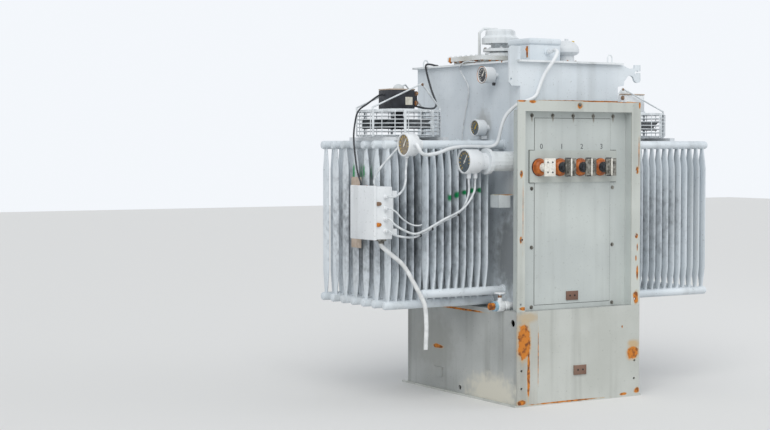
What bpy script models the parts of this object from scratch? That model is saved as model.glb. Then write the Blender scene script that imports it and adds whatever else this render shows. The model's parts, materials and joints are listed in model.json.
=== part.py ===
"""Liquid-filled power transformer with side radiators and a recessed low-voltage front.

Metres, +Z up. The origin is on the underside of the bottom plate, in the middle of
the base. The low-voltage front faces -Y, and +X is to the right of someone who faces it.
"""
import math

import bmesh
import bpy
from mathutils import Matrix, Vector

# Clearance between pieces that touch, and the overrun of a cutter past a face
GAP = 0.0003
OVERRUN = 0.01

# Base: a hollow pedestal on a bottom plate
BASE_WIDTH = 0.936
BASE_DEPTH = 1.226
BASE_HEIGHT = 0.57
BASE_WALL = 0.01
DECK_LEDGE = 0.16
BOTTOM_PLATE = 0.012
BOTTOM_LIP = 0.014
BOTTOM_REAR_LIP = 0.054
CORNER_STRIP_WIDTH = 0.15
FRONT_PLATE = 0.01
WALL_HOLE_RADIUS = 0.023
WALL_HOLE_SETBACK = 0.048
WALL_HOLE_HEIGHT = 0.499
DRAIN_HOLE_RADIUS = 0.016
DRAIN_HOLE_SETBACK = 0.613
DRAIN_HOLE_HEIGHT = 0.045

# Tank and cover
TANK_SIDE_INSET = 0.094
TANK_FRONT_INSET = 0.108
TANK_REAR_OVERHANG = 0.032
TANK_TOP = 2.062
TANK_WALL = 0.008
COVER_PLATE = 0.012
COVER_OVERHANG = 0.026

# Low-voltage front: flange plate, recess and bushing plate
FLANGE_HEIGHT = 1.829
FLANGE_PLATE = 0.01
FLANGE_LEFT_STRIP = 0.054
FLANGE_RIGHT_STRIP = 0.068
FLANGE_TOP_STRIP = 0.064
BOLT_HOLE_RADIUS = 0.008
BOLT_HOLE_SIDES = 8
# Bolt holes in the flange and the base's front, as (across, height) from the left corner
FLANGE_HOLES = (
    (0.0262, 1.3976), (0.0313, 1.0001), (0.024, 0.6148), (0.9084, 1.4008), (0.9076, 1.0056),
    (0.9004, 0.6082), (0.4612, 1.8071))
CORNER_HOLES = ((0.0313, 0.2169), (0.0313, 0.1101))
FRONT_PLATE_HOLES = ((0.898, 0.2232), (0.8956, 0.1116))
RECESS_DEPTH = 0.064
RECESS_WALL = 0.009
RECESS_PANEL = 0.008
BUSHING_PLATE_THICKNESS = 0.01
BUSHING_PLATE_WIDTH = 0.663
BUSHING_PLATE_HEIGHT = 0.193
BUSHING_PLATE_LEFT = 0.127
BUSHING_PLATE_LOW = 1.338
BUSHING_COUNT = 4
BUSHING_LEFT_MARGIN = 0.067
BUSHING_RIGHT_MARGIN = 0.131
BUSHING_HEIGHT = 1.430
BUSHING_RADIUS = 0.0525
BUSHING_COLLAR = 0.022
BUSHING_NOSE = 0.018
BUSHING_NOSE_RADIUS = 0.034
BUSHING_SIDES = 14
STUD_RADIUS = 0.016
STUD_LENGTH = 0.03
PAD_WIDTH = 0.088
PAD_HEIGHT = 0.108
PAD_PLATE = 0.012
PAD_EDGE = 0.004

# Radiators: header pipes out of the tank sides with flattened tubes between them
HEADER_RADIUS = 0.026
HEADER_SIDES = 8
HEADER_TIP = 0.012
HEADER_TIP_SHARE = 0.6
HEADER_TOP = 1.565
HEADER_BOTTOM = 0.609
SHORT_HEADER_BOTTOM = 0.68
TUBE_PITCH = 0.0533
TUBE_THICKNESS = 0.013
TUBE_WIDTH = 0.073
NECK_WIDTH = 0.03
TOP_TAPER = 0.152
BOTTOM_TAPER = 0.162
HEADER_END_MARGIN = 0.02
LEFT_FIRST_ROW = 0.283
LEFT_FIRST_GAP = 0.125
LEFT_REAR_MARGIN = 0.068
LEFT_ROWS = 8
LEFT_FIRST_TUBE = 0.108
LEFT_TUBES = 13
SHORT_ROW_TUBES = 9
SHORT_ROW_FIRST_TUBE = 0.138
RIGHT_FIRST_ROW = 0.25
RIGHT_REAR_MARGIN = 0.101
RIGHT_ROWS = 8
RIGHT_FIRST_TUBE = 0.135
RIGHT_TUBES = 14

# Gauges
GAUGE_SIDES = 16
HEADER_GAUGE_RADIUS = 0.07
HEADER_GAUGE_BODY = 0.09
HEADER_GAUGE_NECK_RADIUS = 0.034
HEADER_GAUGE_NECK = 0.03
LEVEL_GAUGE_RADIUS = 0.0745
LEVEL_GAUGE_BODY = 0.13
LEVEL_GAUGE_SETBACK = 0.17
LEVEL_GAUGE_HEIGHT = 1.466
LEVEL_PIPE_RADIUS = 0.0595
LEVEL_PIPE_LENGTH = 0.19
LEVEL_FLANGE_RADIUS = 0.078
LEVEL_FLANGE = 0.026
LEVEL_SPACER_RADIUS = 0.042
LEVEL_SPACER = 0.02
WALL_GAUGE_RADIUS = 0.0525
WALL_GAUGE_BODY = 0.085
WALL_GAUGE_STEM_RADIUS = 0.022
WALL_GAUGE_STEM = 0.015
LOW_GAUGE_SETBACK = 0.449
LOW_GAUGE_HEIGHT = 1.67
HIGH_GAUGE_SETBACK = 0.348
HIGH_GAUGE_HEIGHT = 1.99
HIGH_GAUGE_RADIUS = 0.051
HIGH_GAUGE_BODY = 0.055
HIGH_GAUGE_STEM = 0.06
HIGH_GAUGE_STEM_RADIUS = 0.014

# Junction box on the outer ends of the left radiators
BOX_DEPTH = 0.123
BOX_WIDTH = 0.28
BOX_LOW = 1.007
BOX_HIGH = 1.325
BOX_SETBACK = 0.2925
BOX_BRACKET = 0.006
BOX_BRACKET_MARGIN = 0.03
BOX_STRAP_HEIGHT = 0.035
GLAND_RADIUS = 0.014
GLAND_LENGTH = 0.03
GLAND_SIDES = 8
GLAND_HEIGHTS = (1.26, 1.192, 1.131, 1.061)
GLAND_BACK = 0.048

# Cooling fans above the radiators
FAN_RADIUS = 0.258
FAN_REACH = 0.521
FAN_SETBACK = 0.656
FAN_RISE = 0.051
FAN_HEIGHT = 0.157
FAN_WIRE = 0.009
FAN_SEGMENTS = 12
FAN_HUB_SHARE = 0.42
MOTOR_LENGTH = 0.196
MOTOR_WIDTH = 0.15
MOTOR_HEIGHT = 0.13
MOTOR_BEVEL = 0.02
FAN_RAIL_WIDTH = 0.04
FAN_RAIL_LENGTH = 0.54
FAN_RAIL_CLEARANCE = 0.033
FAN_RAIL_SPREAD = 0.17
HANGER_RADIUS = 0.007
HANGER_APEX_RISE = 0.375
HANGER_APEX_SHIFT = 0.11
HANGER_FOOT = 0.012
HANGER_SEAT = 0.0012
HANGER_CLEARANCE = 0.02

# Pieces on the cover
COVER_BOX_LEFT = 0.263
COVER_BOX_SETBACK = 0.24
COVER_BOX_WIDTH = 0.229
COVER_BOX_DEPTH = 0.227
COVER_BOX_BODY = 0.104
COVER_BOX_LID = 0.04
COVER_BOX_LIP = 0.008
HAND_HOLE_LEFT = 0.13
HAND_HOLE_SETBACK = 0.56
HAND_HOLE_WIDTH = 0.37
HAND_HOLE_DEPTH = 0.32
HAND_HOLE_RISER = 0.035
HAND_HOLE_FLANGE = 0.028
HAND_HOLE_LIP = 0.03
CAP_LEFT = 0.35
CAP_SETBACK = 0.68
CAP_SIDES = 16
# The vent cap's steps, from the hand-hole plate up, as (rise, radius)
CAP_PROFILE = (
    (0, 0), (0, 0.1), (0.024, 0.1), (0.024, 0.07), (0.034, 0.07), (0.034, 0.112),
    (0.052, 0.112), (0.052, 0.06), (0.084, 0.06), (0.084, 0.12), (0.118, 0.12),
    (0.136, 0.098), (0.162, 0.096), (0.173, 0.084), (0.173, 0))
LOOP_RADIUS = 0.0105
LOOP_RISE = 0.19
LOOP_LEFT = 0.292
LOOP_SPAN = 0.165
LOOP_SETBACK = 0.83
LOOP_BEND = 0.03
RELIEF_LEFT = 0.632
RELIEF_SETBACK = 0.36
# The relief device's steps, from the cover up, as (rise, radius)
RELIEF_PROFILE = (
    (0, 0), (0, 0.05), (0.02, 0.05), (0.02, 0.038), (0.082, 0.038), (0.082, 0.08),
    (0.112, 0.08), (0.142, 0.066), (0.158, 0.036), (0.158, 0))
EYE_SPAN = 0.034
EYE_RISE = 0.054
EYE_BAR = 0.0055
EYE_BEND_SHARE = 0.62
EYE_SETBACK = 0.015
EYE_INSET = 0.036

# Lifting plates at the tank's corners, as (reach from the wall, height less the tank's top)
LUG_PLATE = 0.014
HOOK_OUTLINE = (
    (0, -0.0006), (0.044, -0.0006), (0.0778, -0.016), (0.0932, -0.0195), (0.1304, -0.0185),
    (0.135, 0.0035), (0.1801, 0.0048), (0.1815, -0.0336), (0.163, -0.0365), (0.1537, -0.0307),
    (0.1412, -0.0334), (0.135, -0.0432), (0.1412, -0.0527), (0.1521, -0.0536),
    (0.163, -0.0449), (0.1801, -0.0462), (0.1817, -0.0916), (0.1739, -0.1038),
    (0.1583, -0.1078), (0.1412, -0.1045), (0.1304, -0.0927), (0.1242, -0.076),
    (0.1087, -0.0643), (0.0932, -0.0623), (0.0778, -0.0698), (0.0624, -0.0894),
    (0.0501, -0.1016), (0.047, -0.1281), (0, -0.135))
LEFT_LUG_REACH = 0.082
LEFT_LUG_RISE = 0.095
LEFT_LUG_DROP = 0.144
LEFT_LUG_CORNER = 0.02
LUG_HOLE_RADIUS = 0.008
LUG_HOLE_REACH = 0.068
LUG_HOLE_DROP = 0.104

# Drain valve, shelf bracket and ground pads
VALVE_SETBACK = 0.15
VALVE_RISE = 0.0185
# The valve's steps, out from the tank wall, as (reach, radius)
VALVE_PROFILE = (
    (0, 0), (0, 0.0155), (0.061, 0.0155), (0.061, 0.017), (0.098, 0.017), (0.098, 0.024),
    (0.154, 0.024), (0.154, 0.027), (0.177, 0.027), (0.177, 0.014), (0.195, 0.014), (0.195, 0))
VALVE_STEM_REACH = 0.132
VALVE_STEM_RADIUS = 0.007
VALVE_STEM_RISE = 0.09
VALVE_WHEEL_RADIUS = 0.036
VALVE_WHEEL = 0.012
VALVE_SIDES = 8
SHELF_SETBACK = 0.14
SHELF_WIDTH = 0.09
SHELF_DEPTH = 0.13
SHELF_STRAP = 0.048
SHELF_DROP = 0.2
SHELF_RISE = 0.078
SHELF_PLATE = 0.006
PAD_BLOCK_WIDTH = 0.095
PAD_BLOCK_HEIGHT = 0.06
PAD_BLOCK_DEPTH = 0.008
RECESS_PAD_LEFT = 0.408
RECESS_PAD_RISE = 0.047
FRONT_PAD_LEFT = 0.422
FRONT_PAD_HEIGHT = 0.168
SIDE_PAD_SETBACK = 0.81
SIDE_PAD_HEIGHT = 0.088

# Leads and hose
LEAD_RADIUS = 0.0065
CONDUIT_RADIUS = 0.011
HOSE_RADIUS = 0.013
CONDUIT_POINTS = 34
STRAIGHT_END_SHARE = 0.35
HOSE_POINTS = 27
LEAD_POINTS = 18

# Routes of the leads, the conduit and the hose: places across from the base's left edge,
# back from its front and above the ground
HEADER_LEAD_ROUTE = (
    (-0.6, 0.283, 1.494), (-0.6, 0.283, 1.465), (-0.616, 0.266, 1.41),
    (-0.628, 0.247, 1.358), (-0.6502, 0.238, 1.305), (-0.7, 0.228, 1.268),
    (-0.7399, 0.235, 1.26), (-0.7399, 0.2615, 1.26))
LEVEL_LEAD_ROUTE = (
    (-0.7399, 0.2615, 1.061), (-0.7399, 0.238, 1.061), (-0.7047, 0.232, 1.036),
    (-0.5915, 0.232, 1.022), (-0.5182, 0.228, 1.0464), (-0.3987, 0.22, 1.1058),
    (-0.2764, 0.2, 1.1685), (-0.2323, 0.18, 1.2663), (-0.2365, 0.17, 1.35),
    (-0.2365, 0.17, 1.3906))
SECOND_LEAD_ROUTE = (
    (-0.7399, 0.2615, 1.131), (-0.7399, 0.238, 1.131), (-0.7047, 0.218, 1.09),
    (-0.6, 0.212, 1.045), (-0.5182, 0.211, 1.062), (-0.3987, 0.203, 1.121),
    (-0.27, 0.183, 1.184), (-0.205, 0.165, 1.275), (-0.19, 0.17, 1.35),
    (-0.19, 0.17, 1.3906))
BOX_LEAD_ROUTE = (
    (-0.75, 0.4, 1.3253), (-0.75, 0.4, 1.36), (-0.722, 0.39, 1.42), (-0.662, 0.376, 1.49),
    (-0.612, 0.372, 1.54), (-0.587, 0.37, 1.565), (-0.585, 0.3542, 1.565))
CONDUIT_ROUTE = (
    (-0.585, 0.2118, 1.565), (-0.585, 0.192, 1.565), (-0.578, 0.178, 1.54), (-0.556, 0.184, 1.515),
    (-0.509, 0.2, 1.506), (-0.42, 0.215, 1.517), (-0.34, 0.228, 1.54), (-0.25, 0.232, 1.553),
    (-0.12, 0.232, 1.553), (-0.04, 0.228, 1.553), (0.0, 0.212, 1.58), (0.005, 0.18, 1.667),
    (0.016, 0.148, 1.739), (0.055, 0.096, 1.801), (0.12, 0.092, 1.825), (0.19, 0.09, 1.855),
    (0.218, 0.088, 1.908), (0.25, 0.075, 1.99), (0.2995, 0.05, 2.075), (0.34, 0.07, 2.125),
    (0.375, 0.14, 2.142), (0.3884, 0.19, 2.136), (0.3884, 0.2396, 2.136))
HOSE_ROUTE = (
    (-0.74, 0.34, 1.0062), (-0.74, 0.34, 0.975), (-0.697, 0.336, 0.935),
    (-0.6046, 0.315, 0.8555), (-0.566, 0.262, 0.7561), (-0.533, 0.235, 0.6777),
    (-0.5042, 0.23, 0.6126), (-0.4947, 0.23, 0.4978), (-0.4991, 0.23, 0.3564))

# Places that several pieces share
LEFT = -BASE_WIDTH / 2
RIGHT = BASE_WIDTH / 2
FRONT = -BASE_DEPTH / 2
REAR = BASE_DEPTH / 2
TANK_LEFT = LEFT + TANK_SIDE_INSET
TANK_RIGHT = RIGHT - TANK_SIDE_INSET
TANK_FRONT = FRONT + TANK_FRONT_INSET
TANK_REAR = REAR + TANK_REAR_OVERHANG
COVER_LOW = TANK_TOP + GAP
COVER_TOP = COVER_LOW + COVER_PLATE
DECK_TOP = BASE_HEIGHT
VALVE_HEIGHT = BASE_HEIGHT + VALVE_RISE
FAN_LOW = HEADER_TOP + FAN_RISE
HANGER_APEX = HEADER_TOP + HANGER_APEX_RISE
SHELF_HEIGHT = LEVEL_GAUGE_HEIGHT - SHELF_DROP
RECESS_PAD_HEIGHT = BASE_HEIGHT + RECESS_PAD_RISE
RECESS_BACK = FRONT + RECESS_DEPTH
LEFT_SECOND_ROW = LEFT_FIRST_ROW + LEFT_FIRST_GAP
LEFT_ROW_PITCH = (BASE_DEPTH - LEFT_SECOND_ROW - LEFT_REAR_MARGIN) / (LEFT_ROWS - 2)
RIGHT_ROW_PITCH = (BASE_DEPTH - RIGHT_FIRST_ROW - RIGHT_REAR_MARGIN) / (RIGHT_ROWS - 1)
BUSHING_FIRST = BUSHING_PLATE_LEFT + BUSHING_LEFT_MARGIN
BUSHING_SPREAD = BUSHING_PLATE_WIDTH - BUSHING_LEFT_MARGIN - BUSHING_RIGHT_MARGIN
BUSHING_PITCH = BUSHING_SPREAD / (BUSHING_COUNT - 1)
LEFT_REACH = LEFT_FIRST_TUBE + (LEFT_TUBES - 1) * TUBE_PITCH + HEADER_END_MARGIN
SHORT_REACH = SHORT_ROW_FIRST_TUBE + (SHORT_ROW_TUBES - 1) * TUBE_PITCH + HEADER_END_MARGIN
RIGHT_REACH = RIGHT_FIRST_TUBE + (RIGHT_TUBES - 1) * TUBE_PITCH + HEADER_END_MARGIN


def from_corner(place):
    """A place given from the base's near left corner at the ground."""
    return (LEFT + place[0], FRONT + place[1], place[2])


def clear_scene():
    """Remove what the file opened with."""
    for item in list(bpy.data.objects):
        bpy.data.objects.remove(item, do_unlink=True)


def make_material(name, colour, roughness, metallic):
    """One Principled material."""
    material = bpy.data.materials.new(name)
    material.use_nodes = True
    shader = material.node_tree.nodes["Principled BSDF"]
    shader.inputs["Base Color"].default_value = (*colour, 1.0)
    shader.inputs["Roughness"].default_value = roughness
    shader.inputs["Metallic"].default_value = metallic
    material.diffuse_color = (*colour, 1.0)
    return material


def finish_mesh(name, bm, material, smooth_angle=None):
    """Turn a bmesh into an object of its own."""
    bmesh.ops.recalc_face_normals(bm, faces=bm.faces)
    mesh = bpy.data.meshes.new(name)
    bm.to_mesh(mesh)
    bm.free()
    mesh.materials.append(material)
    if smooth_angle is not None:
        mesh.shade_smooth()
        mesh.set_sharp_from_angle(angle=smooth_angle)
    item = bpy.data.objects.new(name, mesh)
    bpy.context.scene.collection.objects.link(item)
    return item


def block_bmesh(low, high):
    """A box between two corners."""
    bm = bmesh.new()
    low = Vector(low)
    high = Vector(high)
    size = high - low
    bmesh.ops.create_cube(bm, size=1.0)
    bmesh.ops.scale(bm, vec=size, verts=bm.verts)
    bmesh.ops.translate(bm, vec=(low + high) / 2, verts=bm.verts)
    return bm


def block(name, low, high, material):
    """A plain box as an object."""
    return finish_mesh(name, block_bmesh(low, high), material)


def prism(name, outline, axis, start, end, material):
    """An outline of (first, second) places pushed out along an axis from start to end."""
    bm = bmesh.new()
    places = {
        "X": lambda a, b: (start, a, b),
        "Y": lambda a, b: (a, start, b),
        "Z": lambda a, b: (a, b, start),
    }
    shift = {"X": (end - start, 0, 0), "Y": (0, end - start, 0), "Z": (0, 0, end - start)}
    corners = [bm.verts.new(places[axis](a, b)) for a, b in outline]
    face = bm.faces.new(corners)
    pushed = bmesh.ops.extrude_face_region(bm, geom=[face])
    moved = [part for part in pushed["geom"] if isinstance(part, bmesh.types.BMVert)]
    bmesh.ops.translate(bm, vec=shift[axis], verts=moved)
    return finish_mesh(name, bm, material)


def turned_bmesh(profile, centre, axis, sides):
    """A profile of (along, radius) steps turned about an axis through centre."""
    bm = bmesh.new()
    directions = {"X": Vector((1, 0, 0)), "Y": Vector((0, 1, 0)), "Z": Vector((0, 0, 1))}
    direction = directions[axis]
    side = Vector((0, 0, 1)) if axis != "Z" else Vector((1, 0, 0))
    centre = Vector(centre)
    rings = [centre + direction * along + side * radius for along, radius in profile]
    chain = [bm.verts.new(place) for place in rings]
    edges = [bm.edges.new(pair) for pair in zip(chain[:-1], chain[1:])]
    bmesh.ops.spin(
        bm, geom=chain + edges, cent=centre, axis=direction, angle=math.tau,
        steps=sides, use_merge=True)
    bmesh.ops.remove_doubles(bm, verts=bm.verts, dist=GAP / 10)
    bmesh.ops.holes_fill(bm, edges=[edge for edge in bm.edges if edge.is_boundary])
    return bm


def turned(name, profile, centre, axis, sides, material):
    """A turned piece as a smooth-shaded object."""
    bm = turned_bmesh(profile, centre, axis, sides)
    return finish_mesh(name, bm, material, math.radians(40))


def use_tool(body, tool, operation):
    """Add to or cut from a body with another object, which is then only a tool."""
    change = body.modifiers.new(operation.lower(), "BOOLEAN")
    change.operation = operation
    change.solver = "EXACT"
    change.object = tool
    tool.hide_render = True
    tool.display_type = "WIRE"
    return body


def smooth_route(points, count):
    """Places along a smooth curve through hand-chosen points, with straight ends."""
    points = [Vector(point) for point in points]
    ends = [points[0] * 2 - points[1]] + points + [points[-1] * 2 - points[-2]]
    spans = len(points) - 1
    places = []
    for step in range(count):
        share = step / (count - 1) * spans
        index = min(int(share), spans - 1)
        local = share - index
        p0, p1, p2, p3 = ends[index:index + 4]
        places.append(0.5 * (
            (2 * p1) + (p2 - p0) * local
            + (2 * p0 - 5 * p1 + 4 * p2 - p3) * local ** 2
            + (3 * p1 - p0 - 3 * p2 + p3) * local ** 3))
    places[1] = points[0].lerp(points[1], STRAIGHT_END_SHARE)
    places[-2] = points[-1].lerp(points[-2], STRAIGHT_END_SHARE)
    return places


def rod(name, places, radius, material, resolution=1):
    """A round rod with a bend at each place, as a curve with filled caps."""
    curve = bpy.data.curves.new(name, "CURVE")
    curve.dimensions = "3D"
    curve.bevel_depth = radius
    curve.bevel_resolution = resolution
    curve.use_fill_caps = True
    curve.materials.append(material)
    spline = curve.splines.new("POLY")
    spline.points.add(len(places) - 1)
    for point, place in zip(spline.points, places):
        point.co = (*place, 1.0)
    item = bpy.data.objects.new(name, curve)
    bpy.context.scene.collection.objects.link(item)
    return item


def tube_curve(name, points, count, radius, resolution, material):
    """A round tube along a smooth route."""
    return rod(name, smooth_route(points, count), radius, material, resolution)


def add_rod(carrier, name, places, radius):
    """A bent rod that is one with the piece it stands on."""
    curve = rod(name + "_curve", places, radius, carrier.data.materials[0])
    mesh = bpy.data.meshes.new_from_object(curve)
    bpy.data.objects.remove(curve, do_unlink=True)
    item = bpy.data.objects.new(name, mesh)
    bpy.context.scene.collection.objects.link(item)
    use_tool(carrier, item, "UNION")


def drill(carrier, name, places):
    """Through holes for bolts in an upright plate at the front."""
    for index, (across, height) in enumerate(places):
        cutter = turned(
            "%s_%d" % (name, index + 1),
            [(-OVERRUN, BOLT_HOLE_RADIUS), (FLANGE_PLATE + OVERRUN, BOLT_HOLE_RADIUS)],
            (LEFT + across, FRONT, height), "Y", BOLT_HOLE_SIDES, carrier.data.materials[0])
        use_tool(carrier, cutter, "DIFFERENCE")


def ground_pad(carrier, low, high):
    """A flat boss for an earth lead, one with the plate behind it."""
    pad = block(carrier.name + "_ground_pad", low, high, carrier.data.materials[0])
    use_tool(carrier, pad, "UNION")


def base(paint):
    """Bottom plate, hollow walls with a deck, and the two plates that close the front."""
    block("base_bottom_plate",
          (LEFT - BOTTOM_LIP, FRONT, 0),
          (RIGHT + BOTTOM_LIP, REAR + BOTTOM_REAR_LIP, BOTTOM_PLATE), paint)
    low = BOTTOM_PLATE + GAP
    walls = block("base_walls",
                  (LEFT, FRONT + FRONT_PLATE + GAP, low),
                  (RIGHT, REAR, BASE_HEIGHT), paint)
    inside = block("base_inside",
                   (LEFT + BASE_WALL, FRONT + FRONT_PLATE + GAP - OVERRUN, low - OVERRUN),
                   (RIGHT - BASE_WALL, REAR - BASE_WALL, BASE_HEIGHT - BASE_WALL), paint)
    use_tool(walls, inside, "DIFFERENCE")
    opening = block("base_deck_opening",
                    (LEFT + DECK_LEDGE, FRONT + DECK_LEDGE, BASE_HEIGHT - BASE_WALL - OVERRUN),
                    (RIGHT - DECK_LEDGE, REAR - DECK_LEDGE, BASE_HEIGHT + OVERRUN), paint)
    use_tool(walls, opening, "DIFFERENCE")
    holes = (
        ("base_wall_hole", WALL_HOLE_SETBACK, WALL_HOLE_HEIGHT, WALL_HOLE_RADIUS),
        ("base_drain_hole", DRAIN_HOLE_SETBACK, DRAIN_HOLE_HEIGHT, DRAIN_HOLE_RADIUS),
    )
    for name, setback, height, radius in holes:
        cutter = turned(name, [(-OVERRUN, radius), (BASE_WALL + OVERRUN, radius)],
                        (LEFT, FRONT + setback, height), "X", GLAND_SIDES, paint)
        use_tool(walls, cutter, "DIFFERENCE")
    seam = LEFT + CORNER_STRIP_WIDTH
    near = FRONT + SIDE_PAD_SETBACK
    ground_pad(walls, (LEFT - PAD_BLOCK_DEPTH, near, SIDE_PAD_HEIGHT),
               (LEFT + BASE_WALL / 2, near + PAD_BLOCK_WIDTH, SIDE_PAD_HEIGHT + PAD_BLOCK_HEIGHT))
    plate = block("base_front_plate", (seam + GAP, FRONT, low),
                  (RIGHT, FRONT + FRONT_PLATE, BASE_HEIGHT), paint)
    left = LEFT + FRONT_PAD_LEFT
    ground_pad(plate, (left, FRONT - PAD_BLOCK_DEPTH, FRONT_PAD_HEIGHT),
               (left + PAD_BLOCK_WIDTH, FRONT + FRONT_PLATE / 2,
                FRONT_PAD_HEIGHT + PAD_BLOCK_HEIGHT))
    corner = block("base_front_corner", (LEFT, FRONT, low),
                   (seam, FRONT + FRONT_PLATE, BASE_HEIGHT), paint)
    drill(corner, "corner_hole", CORNER_HOLES)
    drill(plate, "front_plate_hole", FRONT_PLATE_HOLES)


def tank(paint):
    """Open-topped shell and the plate that covers it, with a lifting eye at three corners."""
    bm = block_bmesh((TANK_LEFT, TANK_FRONT, DECK_TOP + GAP), (TANK_RIGHT, TANK_REAR, TANK_TOP))
    top = max(bm.faces, key=lambda face: face.calc_center_median().z)
    bmesh.ops.inset_region(bm, faces=[top], thickness=TANK_WALL, use_even_offset=True)
    pushed = bmesh.ops.extrude_face_region(bm, geom=[top])
    moved = [part for part in pushed["geom"] if isinstance(part, bmesh.types.BMVert)]
    depth = TANK_TOP - DECK_TOP - GAP - TANK_WALL
    bmesh.ops.translate(bm, vec=(0, 0, -depth), verts=moved)
    if top.is_valid:
        bm.faces.remove(top)
    finish_mesh("tank_shell", bm, paint)
    cover = block("tank_cover",
                  (TANK_LEFT - COVER_OVERHANG, TANK_FRONT - COVER_OVERHANG, COVER_LOW),
                  (TANK_RIGHT + COVER_OVERHANG, TANK_REAR + COVER_OVERHANG, COVER_TOP), paint)
    near = TANK_FRONT + EYE_SETBACK
    far = TANK_REAR - EYE_SETBACK
    left = TANK_LEFT + EYE_INSET
    right = TANK_RIGHT - EYE_INSET - EYE_SPAN
    foot = COVER_LOW + COVER_PLATE / 2
    bend = COVER_TOP + EYE_RISE * EYE_BEND_SHARE
    high = COVER_TOP + EYE_RISE - EYE_BAR
    quarter = EYE_SPAN / 4
    for name, start, depth_place in (("right_front", right, near), ("left_rear", left, far),
                                     ("right_rear", right, far)):
        add_rod(cover, "lifting_eye_" + name, [
            (start, depth_place, foot), (start, depth_place, bend),
            (start + quarter, depth_place, high), (start + EYE_SPAN - quarter, depth_place, high),
            (start + EYE_SPAN, depth_place, bend), (start + EYE_SPAN, depth_place, foot)], EYE_BAR)


def arch_outline(left, right, low, high, left_strip, right_strip, top_strip):
    """A doorway-shaped outline: two legs and a lintel."""
    return [
        (left, low), (left, high), (right, high), (right, low),
        (right - right_strip, low), (right - right_strip, high - top_strip),
        (left + left_strip, high - top_strip), (left + left_strip, low),
    ]


def low_voltage_front(frame_paint, recess_paint):
    """Flange plate, recess walls and back panel, and the plate that holds the bushings."""
    outline = arch_outline(LEFT, RIGHT, DECK_TOP + GAP, FLANGE_HEIGHT,
                           FLANGE_LEFT_STRIP, FLANGE_RIGHT_STRIP, FLANGE_TOP_STRIP)
    flange = prism("lv_flange_frame", outline, "Y", FRONT, FRONT + FLANGE_PLATE, frame_paint)
    drill(flange, "flange_hole", FLANGE_HOLES)
    left = LEFT + FLANGE_LEFT_STRIP - RECESS_WALL
    right = RIGHT - FLANGE_RIGHT_STRIP + RECESS_WALL
    high = FLANGE_HEIGHT - FLANGE_TOP_STRIP + RECESS_WALL
    outline = arch_outline(left, right, DECK_TOP + GAP, high,
                           RECESS_WALL, RECESS_WALL, RECESS_WALL)
    prism("lv_recess_frame", outline, "Y",
          FRONT + FLANGE_PLATE + GAP, TANK_FRONT - GAP, recess_paint)
    panel = block("lv_recess_back",
                  (left + RECESS_WALL + GAP, RECESS_BACK, DECK_TOP + GAP),
                  (right - RECESS_WALL - GAP, RECESS_BACK + RECESS_PANEL,
                   high - RECESS_WALL - GAP),
                  recess_paint)
    pad_left = LEFT + RECESS_PAD_LEFT
    ground_pad(panel, (pad_left, RECESS_BACK - PAD_BLOCK_DEPTH, RECESS_PAD_HEIGHT),
               (pad_left + PAD_BLOCK_WIDTH, RECESS_BACK + RECESS_PANEL / 2,
                RECESS_PAD_HEIGHT + PAD_BLOCK_HEIGHT))
    plate_left = LEFT + BUSHING_PLATE_LEFT
    block("bushing_plate",
          (plate_left, RECESS_BACK - GAP - BUSHING_PLATE_THICKNESS, BUSHING_PLATE_LOW),
          (plate_left + BUSHING_PLATE_WIDTH, RECESS_BACK - GAP,
           BUSHING_PLATE_LOW + BUSHING_PLATE_HEIGHT),
          recess_paint)


def bushings(epoxy, metal):
    """Moulded bushings in a row, each with a flat terminal pad on its stud."""
    seat = RECESS_BACK - GAP - BUSHING_PLATE_THICKNESS - GAP
    for index in range(BUSHING_COUNT):
        centre = (LEFT + BUSHING_FIRST + index * BUSHING_PITCH, seat, BUSHING_HEIGHT)
        collar = -BUSHING_COLLAR
        nose = collar - BUSHING_NOSE
        stud = nose - STUD_LENGTH
        profile = [
            (0, 0), (0, BUSHING_RADIUS), (collar, BUSHING_RADIUS),
            (collar, BUSHING_NOSE_RADIUS), (nose, BUSHING_NOSE_RADIUS),
            (nose, STUD_RADIUS), (stud, STUD_RADIUS), (stud, 0),
        ]
        body = turned("bushing_%d" % (index + 1), profile, centre, "Y", BUSHING_SIDES, epoxy)
        pad_front = seat + stud - PAD_PLATE / 2
        left = centre[0] - STUD_RADIUS - PAD_EDGE
        pad = block(
            "terminal_pad_%d" % (index + 1),
            (left, pad_front, centre[2] - PAD_HEIGHT / 2),
            (left + PAD_WIDTH, pad_front + PAD_PLATE, centre[2] + PAD_HEIGHT / 2), metal)
        use_tool(body, pad, "UNION")


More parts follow.
